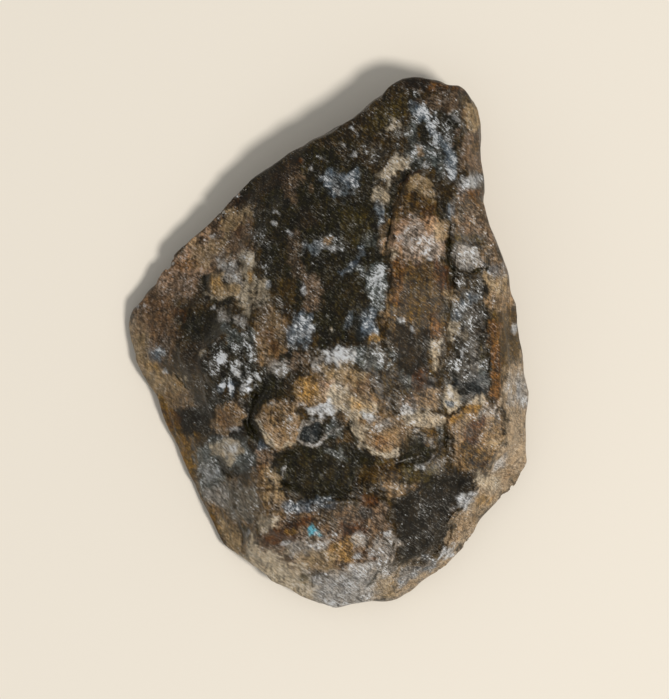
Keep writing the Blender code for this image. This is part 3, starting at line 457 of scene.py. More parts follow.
    ("olive", 0.5, 0.7, ((10.2, -17.4), (15.6, -17.4), (15.6, -20), (10.4, -20))),
    # The swirl plate and the right flank
    ("tan", 0.9, 0.35, ((16.9, -10.3), (17.6, -10), (18.8, -9.2), (20, -8.8), (20.5, -8), (21.5, -7.6),
        (22.3, -8.2), (23.2, -9.2), (24, -10), (25, -12), (25, -13), (24.2, -14.3), (23.2, -15.8),
        (22.8, -17.5), (22, -18.8), (20.5, -19.3), (19, -18.5), (18, -17.5), (18, -15.5), (17.6, -14),
        (17, -12.5))),
    ("cream", 0.8, 0.3, ((19.2, -9), (20.4, -8), (21.6, -7.6), (22.2, -8.4), (21.4, -9.1))),
    ("lilac", 0.6, 0.5, ((20.3, -9.3), (23.4, -9.4), (23.8, -10.6), (20.4, -10.4))),
    ("rust", 0.9, 0.5, ((20.2, -10.8), (22.3, -10.8), (22.2, -12.4), (21, -14.4), (19.4, -14.4),
        (19.5, -12.2))),
    ("beige", 0.6, 0.3, ((22, -13.4), (23.4, -13.2), (24.6, -14.2), (23.8, -15.2), (22.2, -14.4))),
    ("brown", 0.85, 0.6, ((19, -14.8), (22.4, -14.8), (22.6, -17.4), (21.6, -18.8), (19.2, -18.2))),
    ("umber", 0.8, 0.5, ((20.5, -17), (22, -17), (21.8, -19), (20.6, -19.2))),
    ("white_crust_and_glint", 0.6, 0.6, ((26.2, -6), (27.8, -6), (27.8, -8.4), (26.2, -8.4))),
    ("white_crust_and_glint", 0.55, 0.5, ((23.6, -16.4), (25, -16.2), (25, -17.8), (23.8, -18))),
    ("tan", 0.6, 0.7, ((25.4, -17), (27.8, -17), (26.6, -19.8), (25, -19.6))),
    ("hollow", 0.9, 0.5, ((17.8, -17.8), (20.4, -19.2), (20.6, -20.2), (18, -20.4))),
    ("cream", 0.7, 0.6, ((21, -18.6), (24, -18.6), (24, -20.6), (21.2, -20.6))),
    ("white_crust_and_glint", 0.8, 0.5, ((18.7, -21.2), (21, -21), (19.6, -23.7), (17.9, -23.6))),
    ("ochre", 0.6, 0.5, ((21.4, -21.6), (23.2, -21.6), (22.4, -23.2), (21, -23.2))),
    ("tan", 0.6, 0.7, ((18, -24), (20.6, -24), (19.4, -27.4), (17.6, -28))),
    ("white_crust_and_glint", 0.95, 0.5, ((15.8, -29), (17.8, -28.8), (17.4, -30.4), (15.8, -30.4))),
    ("painted_blue_sheen", 0.7, 0.6, ((13.8, -30.2), (16.2, -30), (15.8, -31.8), (13.6, -32))),
    # The bottom
    ("painted_blue_sheen", 0.7, 0.6, ((-6.4, -22.3), (1.2, -22.4), (1.2, -24), (-6, -24))),
    ("beige", 0.65, 0.6, ((-9.3, -20.7), (-6, -20.6), (-6, -22.2), (-9, -22.2))),
    ("cream", 0.8, 0.5, ((-10.2, -24.6), (-7.4, -24.4), (-7.3, -26.4), (-9.8, -26.8))),
    ("rust", 1, 0.5, ((-9, -28.8), (-9, -27.3), (-7, -26.3), (-5, -25.2), (-3, -24.6), (-1.5, -24.8),
        (-2.8, -26.3), (-4.5, -26.5), (-5.2, -27.8), (-6, -28.8))),
    ("smoke", 0.6, 0.6, ((-2.2, -23), (1.6, -23), (1.6, -26.2), (-1.8, -26.2))),
    ("rust", 0.8, 0.4, ((4.4, -21.6), (6.9, -21.6), (6.8, -22.9), (4.5, -22.9))),
    ("slate", 0.75, 0.5, ((4.2, -23), (6.2, -23), (6.2, -24.6), (4.4, -24.6))),
    ("rust", 1, 0.5, ((2, -25.2), (5.6, -25.2), (5.6, -27), (2.2, -27))),
    ("honey", 0.6, 0.6, ((0.5, -27.8), (3.6, -27.8), (3.6, -31), (0.8, -31))),
    ("lilac", 0.7, 0.35, ((3.7, -27), (5.4, -27), (5.3, -28.7), (3.8, -28.6))),
    ("lilac", 0.7, 0.7, ((6.4, -27.4), (9.6, -27.4), (9.6, -32), (6.6, -32))),
    ("beige", 0.7, 0.6, ((-4.6, -29.8), (1.6, -29.8), (1.4, -32.2), (-4.4, -32.4))),
    ("cream", 0.7, 0.8, ((-9, -30.5), (-3.2, -31.5), (-2.4, -35.6), (-6, -35.4), (-10, -32.6))),
    ("beige", 0.7, 0.6, ((6, -33.4), (9.4, -33.4), (9.2, -36.2), (6.2, -36.4))),
    ("white_crust_and_glint", 0.3, 0.9, ((-3, -32.6), (6, -32), (7, -36), (-2, -37))),
    ("umber", 0.6, 0.5, ((-6.8, -24.9), (-4.2, -24.2), (-4.2, -26.2), (-6.6, -26.8))),
    # The painted blue play of colour.
    ("painted_flash", 0.95, 0.25, ((-2.7, -26.7), (-2.2, -26.3), (-1.6, -26.6), (-1.5, -27.2), (-2, -27.5),
        (-2.6, -27.2))),
    ("hackle", 0.15, 0.5, ((12.3, -22), (14, -22), (13.9, -24), (12.2, -24))),
    ("hackle", 0.15, 0.6, ((14.2, -25.2), (17, -25.2), (16.8, -28.4), (14.4, -28.4))),
    ("hackle", 0.25, 0.6, ((10, -29.5), (14.2, -29.6), (13.6, -32.2), (10.2, -32.4))),
    ("hollow", 0.5, 0.6, ((10, -24.5), (12, -24.5), (12, -27), (10.1, -27))),
    ("painted_grey_sheen", 0.5, 0.8, ((-15, -20.2), (-10, -20), (-10.2, -25.8), (-14.4, -24.8))),
    ("lilac", 0.9, 0.5, ((-17.6, -20.6), (-14.6, -20.5), (-14.4, -22.4), (-17.2, -22.6))),
    ("beige", 0.95, 0.3, ((-15.8, -24.3), (-14.3, -25.3), (-13, -26.3), (-12.3, -27.5), (-12.3, -28.8),
        (-13, -29.8), (-14, -28.8), (-15, -27.3))),
    # Dark glass in the chipped crescent: partly the dark stone and partly painted shade.
    ("glass", 0.9, 0.25, ((-12.6, -25.3), (-11.5, -26), (-11.2, -27), (-12, -28), (-12.3, -28.8),
        (-12.2, -27))),
)

# Small spots of a finish: its strength, the middle, the two half lengths and the turn in degrees. The glint
# and sheen spots are painted highlights.
SPOTS = (
    # The brightest spots on the hump, and the turned pale strokes beside them, are painted glints.
    ("painted_glint", 0.95, (-14.5, -6.4), (0.9, 0.3), -20),
    ("painted_glint", 1, (-11.5, -5.6), (0.6, 0.4), -30),
    ("white_crust_and_glint", 0.9, (-9.9, -4.6), (0.7, 0.3), -30),
    ("white_crust_and_glint", 0.8, (-13.2, -4.2), (0.9, 0.25), -36),
    ("painted_glint", 1, (-10.9, -6.7), (0.7, 0.45), -20),
    ("painted_glint", 0.9, (-15.2, -2.8), (0.6, 0.24), -36),
    ("rust", 0.8, (-3.7, 25.5), (0.8, 0.5), 0),
    ("white_crust_and_glint", 0.7, (-2.2, 24.6), (0.5, 0.25), -40),
    ("white_crust_and_glint", 0.7, (-0.8, 26.1), (0.8, 0.3), -20),
    ("white_crust_and_glint", 0.7, (2.6, 27.8), (0.6, 0.25), -45),
    ("white_crust_and_glint", 0.6, (3.9, 26.5), (0.5, 0.3), -45),
    ("white_crust_and_glint", 0.6, (3.5, 30.3), (0.5, 0.25), -30),
    ("white_crust_and_glint", 0.5, (4.5, 29.5), (0.4, 0.2), -30),
    ("white_crust_and_glint", 0.7, (1, 21.5), (0.6, 0.3), -30),
    ("white_crust_and_glint", 0.6, (3, 23.3), (0.7, 0.3), -30),
    ("tan", 0.6, (-2.5, 21.5), (0.6, 0.6), 0),
    ("painted_blue_sheen", 0.6, (12.8, 32.5), (1, 0.9), 0),
    ("painted_blue_sheen", 0.6, (17.2, 25.5), (0.6, 1.1), 0),
    ("white_crust_and_glint", 0.7, (13.8, 25.5), (0.5, 0.4), 0),
    ("white_crust_and_glint", 0.6, (18.2, 31.8), (0.8, 0.5), -30),
    ("glass", 0.85, (17.5, 31.3), (0.45, 0.6), 0),
    ("glass", 0.8, (13.3, 31.2), (0.5, 0.6), 0),
    ("glass", 0.8, (13.5, 28.9), (0.6, 0.4), 0),
    ("glass", 0.8, (12, 25), (0.7, 0.5), 0),
    ("brown", 0.7, (21, 27.5), (0.6, 0.9), 0),
    ("mauve", 0.6, (-12.8, 21.5), (0.7, 0.6), 0),
    ("white_crust_and_glint", 0.6, (-12.8, 20.8), (0.4, 0.2), -30),
    ("white_crust_and_glint", 0.6, (-11.4, 23.4), (0.4, 0.25), -30),
    ("white_crust_and_glint", 0.7, (-7.2, 18.5), (0.6, 0.25), -35),
    ("white_crust_and_glint", 0.7, (-7.3, 17), (0.6, 0.25), -35),
    ("white_crust_and_glint", 0.7, (-5.4, 15.7), (0.6, 0.25), -35),
    ("tan", 0.8, (0.1, 14.6), (0.7, 0.6), 0),
    ("white_crust_and_glint", 0.5, (0.6, 13.5), (1.2, 0.4), -15),
    ("white_crust_and_glint", 0.8, (-3.4, 7.6), (0.4, 0.7), 0),
    ("white_crust_and_glint", 0.7, (-8.2, 8.2), (0.4, 0.4), 0),
    ("cream", 0.8, (0.2, 2), (0.3, 0.3), 0),
    ("painted_blue_sheen", 0.5, (3.2, 3.2), (0.5, 1.6), -20),
    ("honey", 0.7, (6.5, 0.8), (0.8, 0.5), 0),
    ("honey", 0.8, (8.7, 17), (0.3, 0.5), 0),
    ("cream", 0.7, (9, 12.5), (0.4, 0.8), 0),
    ("glass", 0.6, (12.5, 18.5), (0.8, 0.5), 20),
    ("white_crust_and_glint", 0.7, (12.6, 14.7), (0.6, 0.35), 0),
    ("white_crust_and_glint", 0.7, (13, 12.5), (0.6, 0.35), 20),
    ("white_crust_and_glint", 0.7, (14.5, 11.8), (0.6, 0.35), 0),
    ("rust", 0.7, (15.3, 11.6), (0.4, 0.4), 0),
    ("rust", 0.7, (12.7, 10.9), (0.6, 0.3), 0),
    ("glass", 0.6, (12, 11.6), (0.4, 0.3), 0),
    ("white_crust_and_glint", 0.7, (10.5, 3), (0.4, 0.3), 0),
    ("white_crust_and_glint", 0.7, (11.9, 1.8), (0.5, 0.35), -40),
    ("tan", 0.8, (18.5, 17.5), (0.5, 0.5), 0),
    ("tan", 0.8, (20.3, 17.3), (0.5, 0.5), 0),
    ("tan", 0.7, (22, 16), (0.5, 0.6), 0),
    ("white_crust_and_glint", 0.8, (26.3, 1.9), (0.6, 0.6), 0),
    ("white_crust_and_glint", 0.7, (19, -1.6), (0.25, 1), 0),
    ("white_crust_and_glint", 0.7, (18.4, -3.6), (0.25, 0.9), 0),
    ("white_crust_and_glint", 0.7, (17.4, -7.3), (0.4, 0.25), 0),
    ("painted_blue_sheen", 0.8, (17.3, -8.5), (0.4, 0.3), 0),
    ("amber", 0.7, (-20, 11), (1, 0.7), 30),
    ("white_crust_and_glint", 0.6, (-27, 5.1), (0.4, 0.3), 0),
    ("white_crust_and_glint", 0.6, (-25.7, 4.9), (0.3, 0.3), 0),
    ("rust", 0.6, (-21, 4), (0.9, 0.8), 0),
    ("white_crust_and_glint", 0.7, (-16, 15.2), (0.4, 0.3), 20),
    ("rust", 0.7, (-12.7, 15.7), (0.5, 0.6), 0),
    ("tan", 0.6, (-13.8, 12.4), (0.7, 1.2), 0),
    ("glass", 0.7, (-13.4, 12.6), (0.3, 0.5), 0),
    ("honey", 0.8, (-11.5, 9.3), (0.35, 0.9), 0),
    ("white_crust_and_glint", 0.6, (-16.5, 4.9), (0.6, 0.3), 0),
    ("white_crust_and_glint", 0.8, (-22.7, -3.8), (0.4, 0.3), 0),
    ("cream", 0.7, (-20, -5), (0.6, 0.4), 0),
    # These turned pale strokes on the hump are painted glints.
    ("white_crust_and_glint", 0.9, (-14.8, -2.3), (0.7, 0.24), -36),
    ("white_crust_and_glint", 0.9, (-14.6, -3.5), (0.7, 0.24), -36),
    ("white_crust_and_glint", 0.9, (-12.5, -3.1), (0.8, 0.26), -36),
    ("white_crust_and_glint", 0.9, (-13.3, -4.6), (0.8, 0.26), -36),
    ("white_crust_and_glint", 0.9, (-11.3, -5.2), (0.8, 0.26), -36),
    ("white_crust_and_glint", 0.7, (-13.2, -12.2), (0.7, 0.3), 0),
    ("white_crust_and_glint", 0.6, (8, -2.5), (0.7, 0.4), 0),
    ("lilac", 0.8, (-5.4, -10.5), (0.5, 0.4), 0),
    ("lilac", 0.7, (-8, -8.6), (0.8, 0.3), 0),
    ("brown", 0.7, (-5.8, -12.5), (0.3, 0.7), 10),
    ("ochre", 0.7, (-3, -7.2), (0.6, 0.5), 0),
    ("white_crust_and_glint", 0.8, (0, -16.7), (0.3, 0.2), 0),
    ("white_crust_and_glint", 0.8, (-6.1, -18), (0.3, 0.2), 0),
    ("olive", 0.7, (7.3, -17), (0.5, 0.4), 0),
    ("white_crust_and_glint", 0.6, (11.6, -9.6), (0.8, 0.5), 0),
    ("white_crust_and_glint", 0.6, (13, -17.8), (0.7, 0.4), 0),
    ("ochre", 0.6, (-5.3, -26.5), (0.7, 0.4), 20),
    ("white_crust_and_glint", 0.8, (-1.8, -27.2), (0.25, 0.25), 0),
    ("khaki", 0.6, (-2.5, -28), (0.7, 0.4), 0),
    ("white_crust_and_glint", 0.8, (-6, -28.5), (0.6, 0.35), 0),
    ("white_crust_and_glint", 0.7, (1, -27), (0.5, 0.35), 0),
    ("white_crust_and_glint", 0.7, (8.5, -27), (0.5, 0.35), 0),
    ("white_crust_and_glint", 0.7, (4.2, -30.3), (0.5, 0.35), 0),
    ("glass", 0.6, (2.9, -33.3), (0.6, 0.3), 20),
    ("olive", 0.7, (-3.7, -33.5), (0.75, 0.4), 0),
    ("cream", 0.7, (-3, -35.3), (0.7, 0.4), 30),
    ("tan", 0.7, (18, -27.5), (0.5, 0.7), 0),
    ("white_crust_and_glint", 0.7, (-11.4, -26.9), (0.2, 0.4), 0),
    ("honey", 0.6, (-15.3, -26.5), (0.5, 0.7), 0),
)

# Narrow bands of a finish: its strength, half its width, and its line. The first is a band of painted sheen.
BANDS = (
    ("painted_blue_sheen", 0.65, 0.6, ((12, 33.5), (14, 31.5), (15, 30), (16, 28.5), (17, 27.5), (17.5, 26),
        (17.5, 24.5))),
    ("rust", 0.8, 0.3, ((10.3, 22.9), (10.9, 23.8), (12.3, 24.2))),
    ("amber", 0.6, 0.4, ((14.8, 36.3), (17, 36.3), (19.2, 35.9))),
    # The cream band along the tongue's lower edge: partly pale crust and partly painted light on the edge
    # that faces the key light.
    ("cream", 0.95, 0.35, ((4.4, -14.2), (5.3, -14.8), (6.3, -15.4), (7.3, -15.8), (8.2, -16.1),
        (9.2, -15.9), (10, -15.1))),
    ("cream", 0.6, 0.3, ((-9.9, -11.2), (-8.6, -13), (-7.8, -14.4), (-6.8, -15.1), (-4.8, -14.7))),
    ("lilac", 0.7, 0.25, ((2, -11.6), (1, -12.2), (0, -12.8), (-0.5, -13.6), (-1.2, -14.2), (-4, -14.3),
        (-3.9, -12.4), (-3.4, -11), (-1.2, -10.8))),
    ("ochre", 0.8, 0.3, ((17.8, -10.8), (18.6, -10.2), (19, -9.4), (20.5, -9.3), (21.5, -9.3))),
    ("lilac", 0.6, 0.3, ((12.6, -12.4), (13.6, -13.4), (15, -14.6))),
    ("rust", 0.7, 0.2, ((5.2, -29.8), (6.5, -30.8))),
    # These glass bands lie along cracks and along the sides of steps turned away from the light: partly the
    # dark stone in the breaks and partly painted shade.
    ("glass", 0.8, 0.25, ((7.3, -32.4), (6.4, -33.4), (5.4, -34.3))),
    ("glass", 0.85, 0.2, ((-21.3, -4.5), (-20.3, -6.3))),
    ("glass", 0.9, 0.3, ((20.5, 10.4), (22.3, 10.4))),
    ("glass", 0.9, 0.35, ((10.8, 24.4), (9.9, 22.7), (9, 20.6), (8.5, 18.6))),
    ("glass", 0.9, 0.25, ((8.3, 18.5), (8.8, 17.4), (8.5, 14), (8.4, 11.4))),
    ("glass", 0.6, 0.2, ((22.4, 14), (22.3, 9), (22.6, 3), (22.8, -3), (22.7, -7))),
    ("cream", 0.6, 0.25, ((-17, 7), (-15.3, 6.4), (-13, 6.9))),
    ("glass", 0.95, 0.9, ((-9.9, -7.4), (-10.8, -9), (-11.2, -11.4), (-10.4, -13))),
    ("glass", 0.8, 0.3, ((3.3, -10.8), (3.5, -12.4), (4.2, -14))),
)

# Edges, in millimetres from a line or an outline, where they start and where they are whole. The solid has
# a softer edge in the place of each crisp one, and a lip fades out towards its ends. An edge moves nothing
# beyond its reach, and a place beyond an outline's margin counts as FAR outside it.
CRISP_EDGE = (-0.06, 0.14)
SOLID_EDGE = (-0.9, 0.9)
LIP_END = (0.2, 1.6)
EDGE_REACH = 1.0
FAR = 6.0

# How an outline is shaken, so that it looks broken: the size of the lumps and how far they reach. The
# seeds count up from the first, and each axis has its own.
SHAKES = ((3.0, 0.35), (1.3, 0.3), (0.6, 0.18))
SHAKE_SEED = 21
AXIS_SEED = 0.5

# How far up a surface faces, from where its carving or paint starts to where it is whole.
UPPER_FACING = (0.3, 0.75)
STEEP_FACING = (0.45, 0.8)
UNDER_FACING = (0.3, 0.8)
TERRACE_FACING = (0.82, 0.97)
LEVEL_FACING = (0.6, 0.96)
TOP_PAINT_FACING = (-0.2, 0.15)

# Heights, in millimetres, between which the relief fades in over the resting face, the height below which
# a point rests on the ground, and how far inside the solid's box the stone stays.
REST_CLEARANCE = (0.15, 0.9)
UNDER_CLEARANCE = (0.1, 0.5)
RESTING = 0.05
BOX_MARGIN = 0.01

# How close two corners of the solid's loose triangles lie when they are one, and how strongly a pass of
# smoothing pulls.
MERGE_GAP = 0.001
SMOOTHING_PULL = 0.5

# Noise in the relief and the paint: the size of its lumps in millimetres, for all axes or for each, its own
# seed, and how many layers of ever finer lumps it has.
NOISES = {
    "waves": (5.0, 31, 1), "ripples": (1.7, 32, 1), "patches": (7.0, 33, 1),
    "crumbs": (1.1, 34, 4), "grain": ((0.6, 3.6, 2.4), 35, 3),
    "flank wear": (2.2, 36, 2), "underside wear": (1.8, 40, 3),
    "clumps": (1.6, 41, 3), "crumbly edges": (0.6, 42, 2), "fibrous edges": ((0.6, 2.4, 2.0), 46, 3),
    "cover": ((1.0, 1.5, 1.5), 45, 3),
    "layers": (9.0, 51, 4), "clouds": ((6.0, 6.0, 3.0), 52, 4),
}

# How the noise is drawn: how far a seed moves it, how much each finer layer adds to the seed, and the whole
# numbers that turn a corner of its grid into a value that looks drawn by chance.
SEED_SHIFT = (17.3, 5.1, 29.7)
LAYER_SEED = 0.37
CORNER_PRIMES = (73856093, 19349663, 83492791)
CORNER_MIX = 1274126177

# Terraces of thin cleavage sheets: how they dip along X and Y, how far noise bends them, measured in sheets,
# where patches of them start and are whole, the share that is left elsewhere, and where a riser starts and
# ends within a sheet.
TERRACE_DIP = (0.05, -0.04)
TERRACE_BENDS = (("waves", 0.9), ("ripples", 0.4))
TERRACE_PATCHES = (-0.4, 0.3)
TERRACE_REST = 0.35
RISER = (0.38, 0.62)

# The least share of the terraces, the crumbs and the grain, which smooth finishes have too, and how far wear
# moves the flanks and the underside, in millimetres.
LEAST_TERRACE = 0.2
LEAST_CRUMBS = 0.25
LEAST_GRAIN = 0.3
WEAR = 0.12

# How the edges of the finishes are drawn. A patch has the first softness and reach, in millimetres, plus
# the second times the softness in its own row. The breaks say how far noise shifts each kind of edge, the
# reaches how far from its line or outline it still counts, and the cover how unevenly a patch covers. Edges
# and reaches of bands and spots are shares of their own half width.
EDGE_BREAK = 0.6
PATCH_EDGE = (0.2, 0.4)
PATCH_BREAK = 0.3
PATCH_REACH = (1.0, 2.0)
PATCH_COVER = 0.35
BAND_EDGE = (-1.3, -0.6)
BAND_REACH = 2.5
SPOT_EDGE = (-1.3, -0.7)
SPOT_BREAK = 0.7
SPOT_REACH = 2.0

# Finishes of the flanks and the underside, laid over what the rim above has: the finish, the noise that
# places it, the noise's sign, and where it starts and is whole. Layers follow the cleavage, which dips
# along X and Y, and are drawn flatter than they are wide.
SIDES = (
    ("mauve", "layers", 1.0, -1.2, -0.4), ("brown", "layers", 1.0, 0.0, 0.3),
    ("glass", "layers", 1.0, 0.35, 0.6), ("beige", "clouds", 1.0, 0.15, 0.5),
    ("amber", "clouds", -1.0, 0.3, 0.7), ("lilac", "clouds", 1.0, 0.55, 0.8),
)
SIDE_DIP = (0.16, -0.09)
LAYER_SQUEEZE = 5.0
SIDE_COVER = 0.8
SIDE_BREAK = 0.15

# The share of its flecks and grain that a finish keeps on the flanks, which are smoother, and where the
# fibrous upper part starts and is whole, by Y.
FLANK_FLECKS = 0.8
FIBROUS_FROM = (-21.0, -12.0)

# Patterns inside the stone: the size of the lumps along x, y and z in millimetres, the turn of those axes in
# degrees, the number of finer layers, how strong these are and how far the lumps are bent. On rough
# feldspar, crumbs and the strokes along the cleavage are about 0.05 to 0.3 mm across. Most of that is too
# fine to show where a pixel is 0.14 mm, so grit, stroke and speck are drawn as coarse as they need to show.
PATTERNS = {
    "mottle": ((1.6, 2.2, 4.0), 0.0, 5.0, 0.65, 0.5),
    "grit": ((0.5, 0.6, 1.2), 0.0, 4.0, 0.7, 0.0),
    "streak": ((0.5, 3.0, 3.0), -3.0, 4.0, 0.65, 0.6),
    "hue": ((1.0, 1.6, 2.6), 0.0, 4.0, 0.6, 0.3),
    "cluster": ((1.6, 2.2, 3.2), 0.0, 4.0, 0.65, 0.4),
    "stroke": ((0.85, 0.18, 0.6), -38.0, 3.0, 0.7, 0.2),
    "speck": ((0.55, 0.2, 0.5), -38.0, 2.0, 0.7, 0.0),
    "pit": ((1.1, 0.45, 1.4), -38.0, 4.0, 0.65, 0.5),
}

# What each pattern does: the pattern, where its range starts and ends, and what that gives. The shades
# darken and lighten the colour in turn.
EFFECTS = {
    "warmth": ("hue", 0.42, 0.58, 0.0, 1.0),
    "mottling": ("mottle", 0.38, 0.62, 0.78, 1.22),
    "gritting": ("grit", 0.4, 0.6, 0.62, 1.4),
    "hatching": ("stroke", 0.44, 0.56, 0.42, 1.66),
    "streaking": ("streak", 0.41, 0.59, 0.52, 1.52),
    # This darkens the colour towards the pit colour: painted shade in pits and gaps between crumbs.
    "pit_shading": ("pit", 0.4, 0.48, 0.8, 0.0),
    "thickening": ("cluster", 0.4, 0.6, 0.14, 0.58),
    "dulling": ("grit", 0.32, 0.68, -0.06, 0.1),
}
SHADES = ("mottling", "gritting", "streaking", "hatching")

# Bruises and painted glints along the cleavage: the pattern, where its sum with the thickness of the flecks
# starts to show and is whole, how strongly it covers, and with what. A veil is a finish made lighter, with a
# share of grey, and is partly pale bruised feldspar and partly dim painted glints. A glint is a painted
# highlight.
BRUISES_AND_GLINTS = (
    ("stroke", 0.66, 0.7, 0.5, "veil"), ("speck", 0.68, 0.72, 0.45, "veil"),
    ("stroke", 0.79, 0.82, 0.95, "glint"), ("speck", 0.8, 0.83, 0.9, "glint"),
)
VEIL_LIGHT = (2.4, 2.4, 2.4, 1.0)
VEIL_GREY = 0.45

# How far the small break faces lean, and how strong the bump is, from finishes with few flecks to hackly
# ones. Then the sizes and turn of those faces, the colour at which one doesn't lean, the height of the bump
# in millimetres, and what makes it up besides the mottles.
FLECK_RANGE = (0.15, 0.65)
FACET_LEAN = (0.05, 0.45)
FACET_SIZES = (0.7, 0.25, 0.6)
FACET_TURN = -38.0
MIDDLE_COLOUR = (0.5, 0.5, 0.5)
BUMP_STRENGTH = (0.2, 0.5)
BUMP_HEIGHT = 0.25
BUMP_PARTS = (("pit", 1.2), ("grit", 0.5))

# Labradorite bends light as other plagioclase feldspars do. Weathered, it mirrors less than a clean break.
STONE_IOR = 1.56
SKIN_MIRRORING = 0.18

# The stage: the colour of the main light, how wide the floor is in metres and how rough, how wide the
# camera's sensor is in millimetres, and how near and far it sees in metres.
KEY_COLOUR = "#fff6ea"
FLOOR_SIZE = 6.0
FLOOR_ROUGHNESS = 0.9
SENSOR_WIDTH = 36.0
SIGHT_RANGE = (0.01, 20.0)


def linear(hex_colour):
    """An sRGB hex value as the linear colour that Blender works in, with full alpha."""
    shares = [int(hex_colour[start:start + 2], 16) / 255.0 for start in (1, 3, 5)]
    return tuple(s / 12.92 if s <= 0.04045 else ((s + 0.055) / 1.055) ** 2.4 for s in shares) + (1.0,)


def read_points(mesh):
    points = np.empty(len(mesh.vertices) * 3, np.float32)
    mesh.vertices.foreach_get("co", points)
    return points.reshape(-1, 3).astype(float) / MM


def read_normals(mesh):
    normals = np.empty(len(mesh.vertices) * 3, np.float32)
    mesh.vertex_normals.foreach_get("vector", normals)
    return normals.reshape(-1, 3).astype(float)


def write_points(mesh, points):
    mesh.vertices.foreach_set("co", (points * MM).astype(np.float32).ravel())
    mesh.update()


def smooth_step(value, low, high):
    share = np.clip((value - low) / (high - low), 0.0, 1.0)
    return share * share * (3.0 - 2.0 * share)


def smooth_noise(points, size, seed):
    """Noise from -1 to 1, whose lumps are that many millimetres across, or across each axis."""
    place = points / np.array(size) + np.array(SEED_SHIFT) * seed
    low = np.floor(place)
    share = place - low
    share = share * share * (3.0 - 2.0 * share)
    cell = low.astype(np.int64)
    total = np.zeros(len(points))
    for corner in itertools.product((0, 1), repeat=3):
        near = cell + corner
        mixed = np.bitwise_xor.reduce(near * CORNER_PRIMES, axis=1)
        mixed = ((mixed ^ (mixed >> 13)) & 0xFFFFFFFF) * CORNER_MIX
        drawn = ((mixed >> 15) & 0xFFFF) / 32767.5 - 1.0
        total += drawn * np.where(corner, share, 1.0 - share).prod(1)
    return total


def noise(points, name):
    """One of NOISES, in which each layer is half as large and half as strong as the one before it."""
    size, seed, layers = NOISES[name]
    return sum(
        smooth_noise(points, np.array(size) / 2**layer, seed + LAYER_SEED * layer) / 2**layer
        for layer in range(layers)
    )


def nearest_stretch(flat, line, closed):
    """How far each point lies from a line of straight stretches, negative on the line's right hand."""
    start = np.array(line, float)
    end = np.roll(start, -1, axis=0)
    if not closed:
        start, end = start[:-1], end[:-1]
    along = end - start
    away = flat[:, None] - start
    share = np.clip((away * along).sum(2) / (along**2).sum(1), 0.0, 1.0)
    gaps = np.linalg.norm(away - share[..., None] * along, axis=2)
    which = gaps.argmin(1)
    rows = np.arange(len(flat))
    side = along[which, 0] * away[rows, which, 1] - along[which, 1] * away[rows, which, 0]
    return np.where(side < 0.0, -1.0, 1.0) * gaps[rows, which]


def distance_to_line(flat, line, closed):
    return np.abs(nearest_stretch(flat, line, closed))


def within_box(flat, line, margin):
    """Which points lie in a line's box, made larger by a margin."""
    low, high = np.min(line, axis=0) - margin, np.max(line, axis=0) + margin
    return np.flatnonzero(((flat > low) & (flat < high)).all(1))


def depth_inside(flat, outline, margin):
    """How far each point lies inside an outline, and, as a negative number, outside it."""
    depth = np.full(len(flat), -FAR)
    near = within_box(flat, outline, margin)
    if not len(near):
        return depth
    start = np.array(outline, float)
    end = np.roll(start, -1, axis=0)
    x, y = flat[near, :1], flat[near, 1:]
    straddles = (start[:, 1] > y) != (end[:, 1] > y)
    rise = np.where(end[:, 1] == start[:, 1], 1.0, end[:, 1] - start[:, 1])
    crossing = start[:, 0] + (end[:, 0] - start[:, 0]) * (y - start[:, 1]) / rise
    inside = (straddles & (x < crossing)).sum(1) % 2 == 1
    gap = distance_to_line(flat[near], outline, closed=True)
    depth[near] = np.where(inside, gap, -gap)
    return depth


def seen_place(points):
    """Where each point is seen from above, with its outline shaken as a break is."""
    scale = (EYE_HEIGHT - READ_HEIGHT) / (EYE_HEIGHT - points[:, 2])
    flat = np.array(EYE) + (points[:, :2] - EYE) * scale[:, None]
    for seed, (size, reach) in enumerate(SHAKES, start=SHAKE_SEED):
        shift = [smooth_noise(points, size, seed + AXIS_SEED * axis) for axis in (0, 1)]
        flat = flat + reach * np.stack(shift, axis=1)
    return flat


def staircase(level):
    """How far each level lies from the stair below or above it, with steep risers between stairs."""
    share = level - np.floor(level)
    return smooth_step(share, *RISER) - share


def sheet_relief(flat):
    """How far the broken edges of the sheets, chips and cracks move each point of the upper face up."""
    rise = np.zeros(len(flat))
    for lift, line in LIPS:
        near = within_box(flat, line, EDGE_REACH)
        side = nearest_stretch(flat[near], line, closed=False)
        ends = [np.linalg.norm(flat[near] - line[end], axis=1) for end in (0, -1)]
        share = smooth_step(ends[0], *LIP_END) * smooth_step(ends[1], *LIP_END)
        rise[near] += lift * share * (smooth_step(side, *CRISP_EDGE) - smooth_step(side, *SOLID_EDGE))
    for depth, outline in CHIPS:
        rise -= depth * smooth_step(depth_inside(flat, outline, EDGE_REACH), *CRISP_EDGE)
    for depth, reach, line in CRACKS:
        near = within_box(flat, line, reach)
        away = distance_to_line(flat[near], line, closed=False)
        rise[near] -= depth * smooth_step(-away, -reach, 0.0)
    return rise


def terraces(points, facing_up, hackly, shape):
    """How far the thin sheets that step the upper face move each point up."""
    pitch = shape.terrace_pitch / MM
    level = (points[:, 2] + points[:, :2] @ np.array(TERRACE_DIP)) / pitch
    for name, bend in TERRACE_BENDS:
        level = level + bend * noise(points, name)
    patches = TERRACE_REST + (1.0 - TERRACE_REST) * smooth_step(noise(points, "patches"), *TERRACE_PATCHES)
    share = shape.terrace_share * pitch * patches * (LEAST_TERRACE + hackly)
    return share * smooth_step(facing_up, *TERRACE_FACING) * staircase(level)


